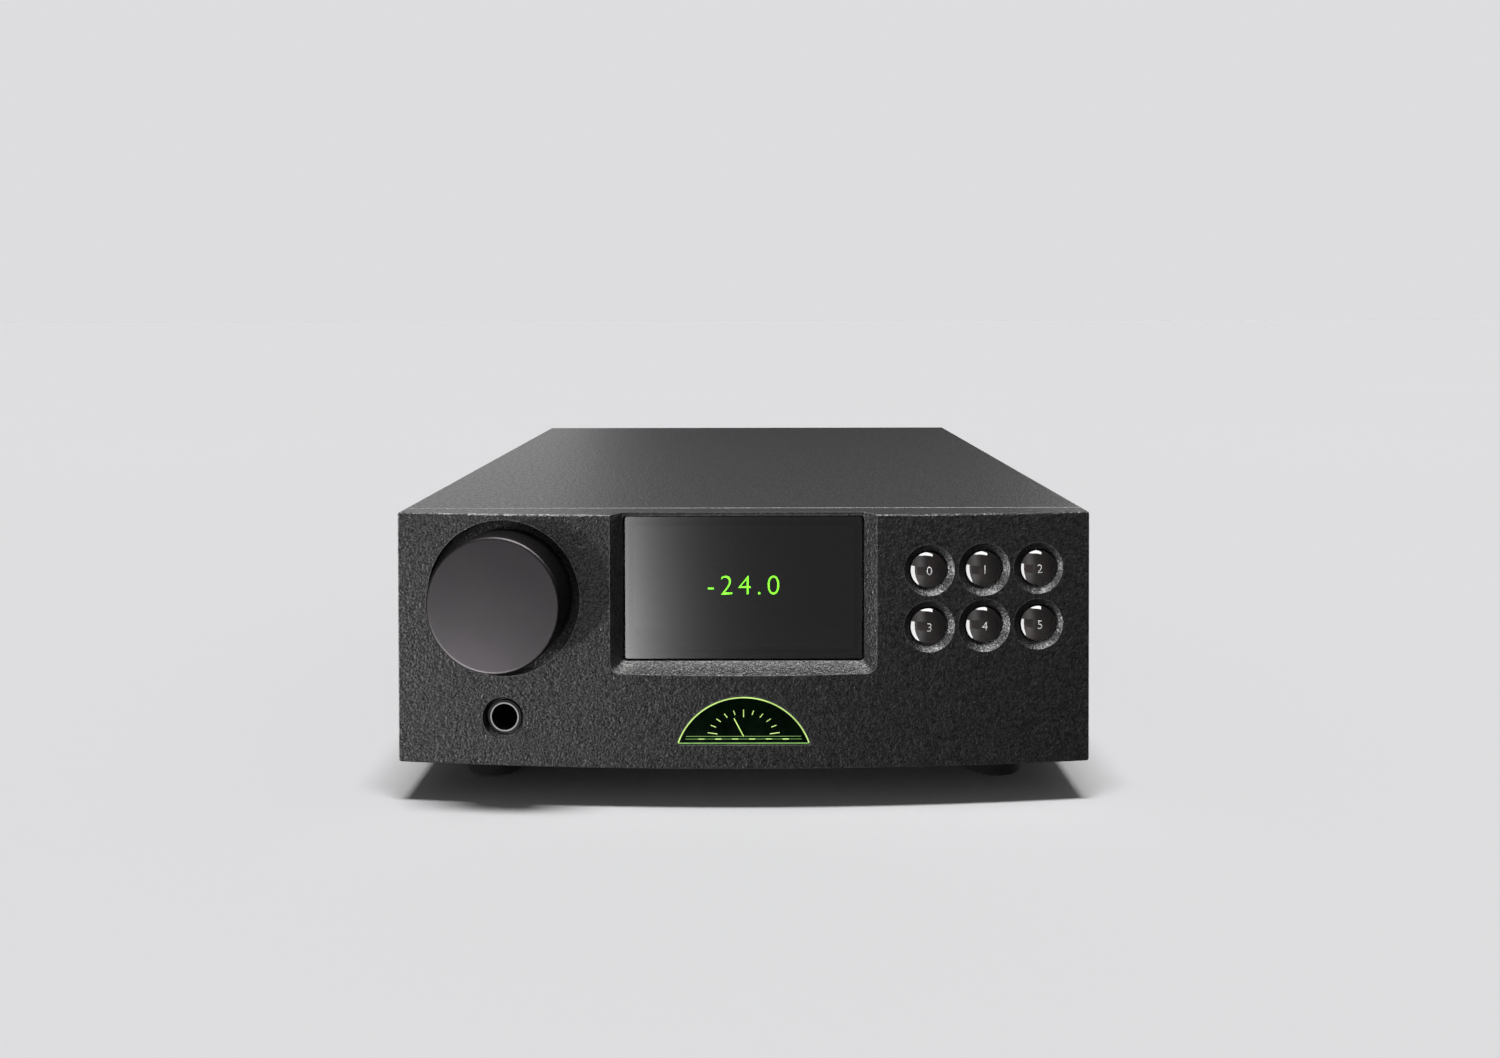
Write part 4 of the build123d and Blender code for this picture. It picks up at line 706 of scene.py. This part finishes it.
LENS_FLANGE = 1.6 * MM  # the hidden rim round the lens, behind the panel
LINE_INSET = 0.35 * MM  # from the lens's outline to the middle of its lit lines
LINE_HEIGHT = 0.12 * MM
ARCH_LIFT = Vector((0, 0.5 * MM))  # raises the arch's ends, less and less towards its top
SCALE_LEVELS = (1.6 * MM, 2.4 * MM)  # the two faint lines above the base line
DASH_PITCH = 4.95 * MM
DASH_HALF = 0.9 * MM
DIAL_CENTRE = Vector((0, 2.4 * MM))
DIAL_RADIUS = 9.6 * MM
DIAL_SQUEEZE = Vector((1.12, 0.86))  # flattens the round dial to fit under the low arch
TICKS = 11
LONG_TICK = 2.6 * MM
SHORT_TICK = 1.5 * MM
POINTER_LENGTH = 6.0 * MM
MARK_HEIGHT = 0.1 * MM


def badge_frame(bright, faint, half, rise):
    """The arch, its base line, and two faint lines above that, the lower one with six bright dashes."""
    arch = half_round(half - LINE_INSET, rise - LINE_INSET, 48)
    lifted = [point + ARCH_LIFT * (1 - point.y / rise) for point in arch]
    ridge(bright, lifted, 0.38 * MM, LINE_HEIGHT)
    base = [Vector((side * (half - LINE_INSET), LINE_INSET)) for side in (-1, 1)]
    ridge(faint, base, 0.36 * MM, LINE_HEIGHT)
    for level in SCALE_LEVELS:
        reach = half - 2.0 * MM - level * 0.3
        ridge(faint, [Vector((-reach, level)), Vector((reach, level))], 0.14 * MM, 0.05 * MM)
    for k in range(6):
        spot = (k - 2.5) * DASH_PITCH
        dash = [Vector((spot + side * DASH_HALF, SCALE_LEVELS[0])) for side in (-1, 1)]
        ridge(bright, dash, 0.3 * MM, MARK_HEIGHT)


def badge_dial(bright):
    """Ticks round a low centre, every fifth one longer, and a resting pointer."""
    for k in range(TICKS):
        angle = radians(170 - 16 * k)
        length = LONG_TICK if k % 5 == 0 else SHORT_TICK
        outward = Vector((cos(angle), sin(angle)))
        foot = DIAL_CENTRE + outward * (DIAL_RADIUS - length)
        ends = (foot, foot + outward * length)
        tick = [Vector((end.x * DIAL_SQUEEZE.x, end.y * DIAL_SQUEEZE.y)) for end in ends]
        ridge(bright, tick, 0.26 * MM, MARK_HEIGHT)
    pointer = radians(118)
    tip = DIAL_CENTRE + Vector((cos(pointer), sin(pointer))) * POINTER_LENGTH
    ridge(bright, [DIAL_CENTRE, tip], 0.32 * MM, MARK_HEIGHT)


def badge_lines():
    """Light caught along the lens: its frame, and a plain dial."""
    low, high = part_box("badge_lens")
    half = (high.x - low.x) / 2 - LENS_FLANGE
    rise = high.z - low.z - 2 * LENS_FLANGE
    place = facing((0, low.y, low.z + LENS_FLANGE), FRONT)
    bright = bmesh.new()
    faint = bmesh.new()
    badge_frame(bright, faint, half, rise)
    badge_dial(bright)
    lit = glow("badge_bright", (0.50, 0.74, 0.20), 1.25, 5.0)
    dim = glow("badge_faint", (0.20, 0.48, 0.09), 0.8, 4.0)
    for name, shape, material in (("badge_light_lines", bright, lit), ("badge_dim_lines", faint, dim)):
        bmesh.ops.transform(shape, matrix=place, verts=shape.verts)
        new_piece(name, shape, material, "case")


badge_lines()


# ---------------------------------------------------------------- marks and rings on the back
COAXIAL_X = (47 * MM, 66 * MM)
OPTICAL_X = (25 * MM, 45 * MM)
INPUT_FIGURE = 3.2 * MM  # height of a figure
ABOVE_COMPUTER = 5.0 * MM  # from a socket's top to the middle of its figure
ABOVE_COAXIAL = 4.5 * MM
ABOVE_OPTICAL = 3.6 * MM


def rear_figures():
    """Input numbers above the sockets on the back panel."""
    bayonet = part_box("bnc_socket")
    coaxial_level = bayonet[1].z + ABOVE_COAXIAL
    optical_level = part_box("optical_sockets")[1].z + ABOVE_OPTICAL
    spots = [
        (middle("usb_socket").x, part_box("usb_socket")[1].z + ABOVE_COMPUTER),
        ((bayonet[0].x + bayonet[1].x) / 2, coaxial_level),
        *((x, coaxial_level) for x in COAXIAL_X),
        *((x, optical_level) for x in OPTICAL_X),
    ]
    ink = printed("panel_ink", (0.62, 0.62, 0.62))
    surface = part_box("rear_panel")[1].y
    for number, (x, z) in enumerate(spots):
        place = facing((x, surface, z), BACK)
        shape = figures(str(number), INPUT_FIGURE)
        print_on(f"input_figure_{number}", shape, place, "rear_panel", "case", ink)


def rocker_marks():
    """On bar and off ring on the mains rocker."""
    low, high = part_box("power_rocker")
    centre = (low + high) / 2
    for name, shape, rise in (
        ("rocker_on_bar", bar(0.6 * MM, 3.0 * MM), 4.4 * MM),
        ("rocker_off_ring", ring(1.1 * MM, 1.65 * MM), -4.4 * MM),
    ):
        place = facing((centre.x, high.y, centre.z + rise), BACK)
        print_on(name, shape, place, "power_rocker", "rocker_body", WHITE_INK)


def turned(name, centre, profile, material, body, slot, steps=64):
    """Piece turned about an axis along Y: the profile lists radius and distance behind the centre."""
    shape = bmesh.new()
    loops = []
    for radius, depth in profile:
        loops.append([
            shape.verts.new((
                centre[0] + radius * cos(2 * pi * k / steps),
                centre[1] + depth,
                centre[2] + radius * sin(2 * pi * k / steps),
            ))
            for k in range(steps)
        ])
    for first, second in zip(loops, loops[1:] + loops[:1]):
        for k in range(steps):
            after = (k + 1) % steps
            shape.faces.new((first[k], first[after], second[after], second[k]))
    return new_piece(name, shape, material, body)


def socket_rings():
    """Coloured washers on the phono sockets' collars: red and white outputs, orange digital inputs."""
    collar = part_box("rear_panel")[1].y + 1.6 * MM
    inner, outer, edge = 4.25 * MM, 5.75 * MM, 0.2 * MM
    profile = [
        (inner, 0), (inner, 0.5 * MM), (inner + edge, 0.6 * MM), (outer - edge, 0.6 * MM),
        (outer, 0.6 * MM - edge), (outer, 0),
    ]
    red = moulded_ring("ring_red", (0.45, 0.02, 0.015))
    white = moulded_ring("ring_white", (0.62, 0.62, 0.60))
    orange = moulded_ring("ring_orange", (0.62, 0.17, 0.01))
    for name, x, z, material in (
        ("output_ring_right", -33.0, 68.0, red),
        ("output_ring_left", -15.0, 68.0, white),
        ("input_ring_2", 47.0, 36.0, orange),
        ("input_ring_3", 66.0, 36.0, orange),
    ):
        turned(name, (x * MM, collar, z * MM), profile, material, "case", "core_plastic")


rear_figures()
rocker_marks()
socket_rings()


# ---------------------------------------------------------------- floor and surroundings
PALE = 0.723  # brightness of the floor and background
AMBIENT = 0.12  # brightness of the surroundings as soft light
FLOOR_WHITE = 0.80
FLOOR_HALF = 60.0  # metres from its middle to its edge


def pale_floor():
    """One wide pale sheet that runs out of sight; mirror-like rays pass through it."""
    shape = bmesh.new()
    bmesh.ops.create_grid(shape, x_segments=8, y_segments=8, size=FLOOR_HALF)
    mesh = bpy.data.meshes.new("floor")
    shape.to_mesh(mesh)
    shape.free()
    paper = Finish("floor_paper", (FLOOR_WHITE, FLOOR_WHITE, FLOOR_WHITE * 1.02), 1.0)
    paper.set("Specular IOR Level", 0.0)
    paper.tint(paper.noise(600, 1.0), (FLOOR_WHITE * 0.99, FLOOR_WHITE * 0.99, FLOOR_WHITE), 0.5)
    mesh.materials.append(paper.material)
    floor = bpy.data.objects.new("floor", mesh)
    bpy.context.scene.collection.objects.link(floor)
    floor.visible_glossy = False
    floor.visible_shadow = False
    floor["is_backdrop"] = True
    return floor


def surroundings():
    """Pale to the camera, even grey for soft light, and brighter to the left for reflections."""
    world = bpy.data.worlds.new("studio")
    world.use_nodes = True
    bpy.context.scene.world = world
    tree = world.node_tree
    path = add_node(tree, "ShaderNodeLightPath")
    direction = add_node(tree, "ShaderNodeTexCoord").outputs["Generated"]
    across, depth = add_node(tree, "ShaderNodeSeparateXYZ", {0: direction}).outputs[:2]
    front = remap(tree, across, 1.12, 0.0, -0.42, 0.18, "SMOOTHSTEP")
    back = remap(tree, across, 0.15, 0.14, -0.2, 0.25, "SMOOTHSTEP")
    behind = remap(tree, depth, 0, 1, -0.1, 0.1)
    edge = remap(tree, across, 0.3, 1.0, -0.75, -0.25, "SMOOTHSTEP")
    side = calculate(tree, "MULTIPLY", mix_colours(tree, behind, front, back), edge)
    seen = mix_colours(tree, path.outputs["Is Glossy Ray"], (AMBIENT,) * 3 + (1.0,), side)
    seen = mix_colours(tree, path.outputs["Is Camera Ray"], seen, (PALE, PALE, PALE * 1.02, 1.0))
    shader = tree.nodes["Background"]
    tree.links.new(seen, shader.inputs["Color"])


floor = pale_floor()
surroundings()


# ---------------------------------------------------------------- studio lights
def collect(name, objects):
    """Collection of the objects that a light may touch."""
    group = bpy.data.collections.new(name)
    for item in objects:
        group.objects.link(item)
    return group


OWN_LIGHT = ("sleeve", "fascia", "volume_knob", "jack_bush")  # pieces that the rear light leaves alone
BUTTON_PIECES = [
    item for item in bpy.context.scene.objects if item.name.startswith("source_button")
]
LIT_GROUP = collect("lit_case", [
    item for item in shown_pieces() if item not in BUTTON_PIECES and item.name != "display_window"
])
FRONT_GROUP = collect("lit_front", [NODES["fascia"]])
REAR_GROUP = collect("lit_rear", [item for item in LIT_GROUP.objects if item.name not in OWN_LIGHT])
BUTTON_GROUP = collect("lit_buttons", BUTTON_PIECES)
KNOB_GROUP = collect("lit_knob", [NODES["volume_knob"]])
PANE_GROUP = collect("lit_pane", [NODES["display_window"]])
FLOOR_GROUP = collect("lit_floor", [floor])


def aimed(position, target):
    """Matrix at the position whose -Z axis points at the target."""
    direction = Vector(target) - Vector(position)
    return Matrix.Translation(position) @ direction.to_track_quat("-Z", "Y").to_matrix().to_4x4()


def add_lamp(light, matrix, group):
    """Hangs a light in the scene, unseen by the camera, for one group of pieces."""
    lamp = bpy.data.objects.new(light.name, light)
    lamp.matrix_world = matrix
    lamp.visible_camera = False
    lamp.light_linking.receiver_collection = group
    bpy.context.scene.collection.objects.link(lamp)


def flat_light(name, length, width, radiance):
    """Rectangular light of this size in metres and this brightness."""
    light = bpy.data.lights.new(name, "AREA")
    light.shape = "RECTANGLE"
    light.size, light.size_y = length, width
    light.energy = radiance * pi * light.size * light.size_y
    return light


def softbox(name, position, target, size, radiance, group):
    """Flat light aimed at a target, for one group of pieces; lengths in millimetres."""
    light = flat_light(name, size[0] * MM, size[1] * MM, radiance)
    add_lamp(light, aimed(Vector(position) * MM, Vector(target) * MM), group)


CASE_MIDDLE = (0, -40, 50)
softbox("left_box", (-650, -255, -100), (0, -145, 50), (400, 400), 10.0, FRONT_GROUP)
softbox("overhead_box", (60, -390, 750), (0, -145, 60), (800, 400), 17.0, LIT_GROUP)
softbox("sill_box", (20, -130, 750), (20, -150, 30), (400, 250), 16.0, LIT_GROUP)
softbox("back_left_box", (-500, 900, 350), CASE_MIDDLE, (700, 400), 1.35, LIT_GROUP)
softbox("rear_fill", (-250, 950, 450), (0, 150, 40), (900, 600), 5.0, REAR_GROUP)
softbox("knob_card", (-175, -255, -75), (-75, -157, 55), (150, 150), 17.0, KNOB_GROUP)
softbox("back_right_box", (600, 800, 300), CASE_MIDDLE, (500, 400), 2.0, LIT_GROUP)
softbox("right_box", (750, 250, 280), CASE_MIDDLE, (500, 500), 2.5, LIT_GROUP)
softbox("button_bar", (60, -711, 924), (71, -150, 60), (1250, 190), 20.0, BUTTON_GROUP)


BUTTON_FIELD = sum((middle(f"source_button_{number}") for number in range(BUTTONS)), Vector()) / BUTTONS


GLOW_AWAY = Vector((-0.66, -0.75, 0)).normalized()  # level direction from the buttons to the light
GLOW_LOWERED = radians(47)  # how far the middle of its edge lies below level
GLOW_DISTANCE = 1.5
GLOW_LENGTH = 4.0
GLOW_WIDTH = 3.0
GLOW_RADIANCE = 15.0


def side_glow():
    """Large low light that the domed buttons mirror as a crescent at their lower left.

    Its straight edge lies in an upright plane through the buttons. Seen from them it runs from just
    above level to a little past straight below.
    """
    beyond = Vector((GLOW_AWAY.y, -GLOW_AWAY.x, 0))
    centre_line = GLOW_AWAY * cos(GLOW_LOWERED) - UP * sin(GLOW_LOWERED)
    edge_line = GLOW_AWAY * sin(GLOW_LOWERED) + UP * cos(GLOW_LOWERED)
    centre = BUTTON_FIELD + centre_line * GLOW_DISTANCE + beyond * GLOW_WIDTH / 2
    turn = Matrix((edge_line, centre_line.cross(edge_line), centre_line)).transposed()
    light = flat_light("side_glow", GLOW_LENGTH, GLOW_WIDTH, GLOW_RADIANCE)
    add_lamp(light, Matrix.Translation(centre) @ turn.to_4x4(), BUTTON_GROUP)


side_glow()


BEAM_PLACE = Vector((-610, -610, -127)) * MM
BEAM_ANGLE = radians(6.5)  # wide enough for the six dishes
BEAM_POWER = 170.0
BEAM_SOURCE = 0.08  # radius of the lamp in metres, which softens the shadows


def dish_spot():
    """Narrow beam from the lower left into the dishes round the buttons."""
    light = bpy.data.lights.new("dish_spot", "SPOT")
    light.energy = BEAM_POWER
    light.spot_size = BEAM_ANGLE
    light.spot_blend = 1.0
    light.shadow_soft_size = BEAM_SOURCE
    add_lamp(light, aimed(BEAM_PLACE, BUTTON_FIELD), FRONT_GROUP)


dish_spot()


SUN_TILT = radians(8)
SUN_LEANS = (-8, 0, 8)  # degrees to either side
SUN_WIDTH = radians(9)  # angle that each high light spans
SUN_GAIN = 1.02  # brings the lit floor up to the background's brightness


def sunlight():
    """High lights that draw the soft shadow under the case, wider at its sides; they light the floor only."""
    for number, lean in enumerate(SUN_LEANS):
        light = bpy.data.lights.new(f"shadow_sun_{number}", "SUN")
        light.angle = SUN_WIDTH
        wanted = (PALE / FLOOR_WHITE - AMBIENT) * pi
        light.energy = wanted / cos(SUN_TILT) * SUN_GAIN / len(SUN_LEANS)
        lamp = bpy.data.objects.new(light.name, light)
        lamp.rotation_euler = (SUN_TILT, radians(lean), 0)
        lamp.light_linking.receiver_collection = FLOOR_GROUP
        bpy.context.scene.collection.objects.link(lamp)


sunlight()


CARD_PLACE = Vector((0, -350, 20)) * MM
CARD_WIDTH = 0.14
CARD_SLANT = 0.12  # leans the fade a little from upright
CARD_FADE = -9.0  # how fast the light dies away to the right, per card width
CARD_START = 0.4  # where the light is at its stated peak, in card widths left of the middle
CARD_PEAK = 5.8  # added to the base there
CARD_BASE = 0.41  # what is left at the right


def card_light():
    """Unshaded light that fades from left to right across a card."""
    material = bpy.data.materials.new("pane_card")
    material.use_nodes = True
    tree = material.node_tree
    tree.nodes.clear()
    place = add_node(tree, "ShaderNodeTexCoord").outputs["Object"]
    across, height, _ = add_node(tree, "ShaderNodeSeparateXYZ", {0: place}).outputs[:3]
    slanted = calculate(tree, "MULTIPLY_ADD", height, CARD_SLANT, across)
    along = calculate(tree, "ADD", slanted, CARD_START)
    fade = calculate(tree, "EXPONENT", calculate(tree, "MULTIPLY", along, CARD_FADE))
    strength = calculate(tree, "MULTIPLY_ADD", fade, CARD_PEAK, CARD_BASE)
    light = add_node(tree, "ShaderNodeEmission", {"Strength": strength})
    add_node(tree, "ShaderNodeOutputMaterial", {"Surface": light.outputs[0]})
    return material


def pane_card():
    """Graded card that only the display window mirrors: bright at its left, fading to the right."""
    shape = bmesh.new()
    bmesh.ops.create_grid(shape, x_segments=4, y_segments=4, size=0.5)
    mesh = bpy.data.meshes.new("pane_card")
    shape.to_mesh(mesh)
    shape.free()
    mesh.materials.append(card_light())
    card = bpy.data.objects.new("pane_card", mesh)
    card.matrix_world = facing(CARD_PLACE, FRONT) @ Matrix.Diagonal((CARD_WIDTH, CARD_WIDTH, 1, 1))
    bpy.context.scene.collection.objects.link(card)
    card.visible_camera = False
    card.visible_diffuse = False
    card.visible_shadow = False
    card.light_linking.receiver_collection = PANE_GROUP
    card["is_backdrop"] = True


pane_card()


# ---------------------------------------------------------------- camera
CAMERA_PLACE = Vector((2.5, -518.6, 144.9)) * MM
CAMERA_YAW = radians(-0.062)
CAMERA_PITCH = radians(-0.856)
CAMERA_ROLL = radians(-0.105)
LENS_SHIFT = -0.128
SENSOR_WIDTH = 36.0
FOCAL_LENGTH = 30.36


def photo_camera():
    """Camera just above the case, level, its frame shifted down as by a rising front."""
    data = bpy.data.cameras.new("camera")
    data.sensor_width = SENSOR_WIDTH
    data.lens = FOCAL_LENGTH
    data.clip_start, data.clip_end = 0.01, 200.0
    camera = bpy.data.objects.new("camera", data)
    bpy.context.scene.collection.objects.link(camera)
    forward = Vector((
        sin(CAMERA_YAW) * cos(CAMERA_PITCH), cos(CAMERA_YAW) * cos(CAMERA_PITCH), sin(CAMERA_PITCH),
    ))
    level = Vector((cos(CAMERA_YAW), -sin(CAMERA_YAW), 0))
    upright = level.cross(forward)
    right = level * cos(CAMERA_ROLL) + upright * sin(CAMERA_ROLL)
    top = upright * cos(CAMERA_ROLL) - level * sin(CAMERA_ROLL)
    turn = Matrix((right, top, -forward)).transposed().to_4x4()
    camera.matrix_world = Matrix.Translation(CAMERA_PLACE) @ turn
    bpy.context.scene.camera = camera

    # The shift belongs to this place alone: a camera that is moved round the object looks straight.
    driver = data.driver_add("shift_y").driver
    depth = driver.variables.new()
    depth.name = "depth"
    depth.type = "TRANSFORMS"
    depth.targets[0].id = camera
    depth.targets[0].transform_type = "LOC_Y"
    driver.expression = f"{LENS_SHIFT} if abs(depth - {CAMERA_PLACE.y:.4f}) < 0.001 else 0.0"


photo_camera()
bpy.context.scene.view_settings.view_transform = "Standard"
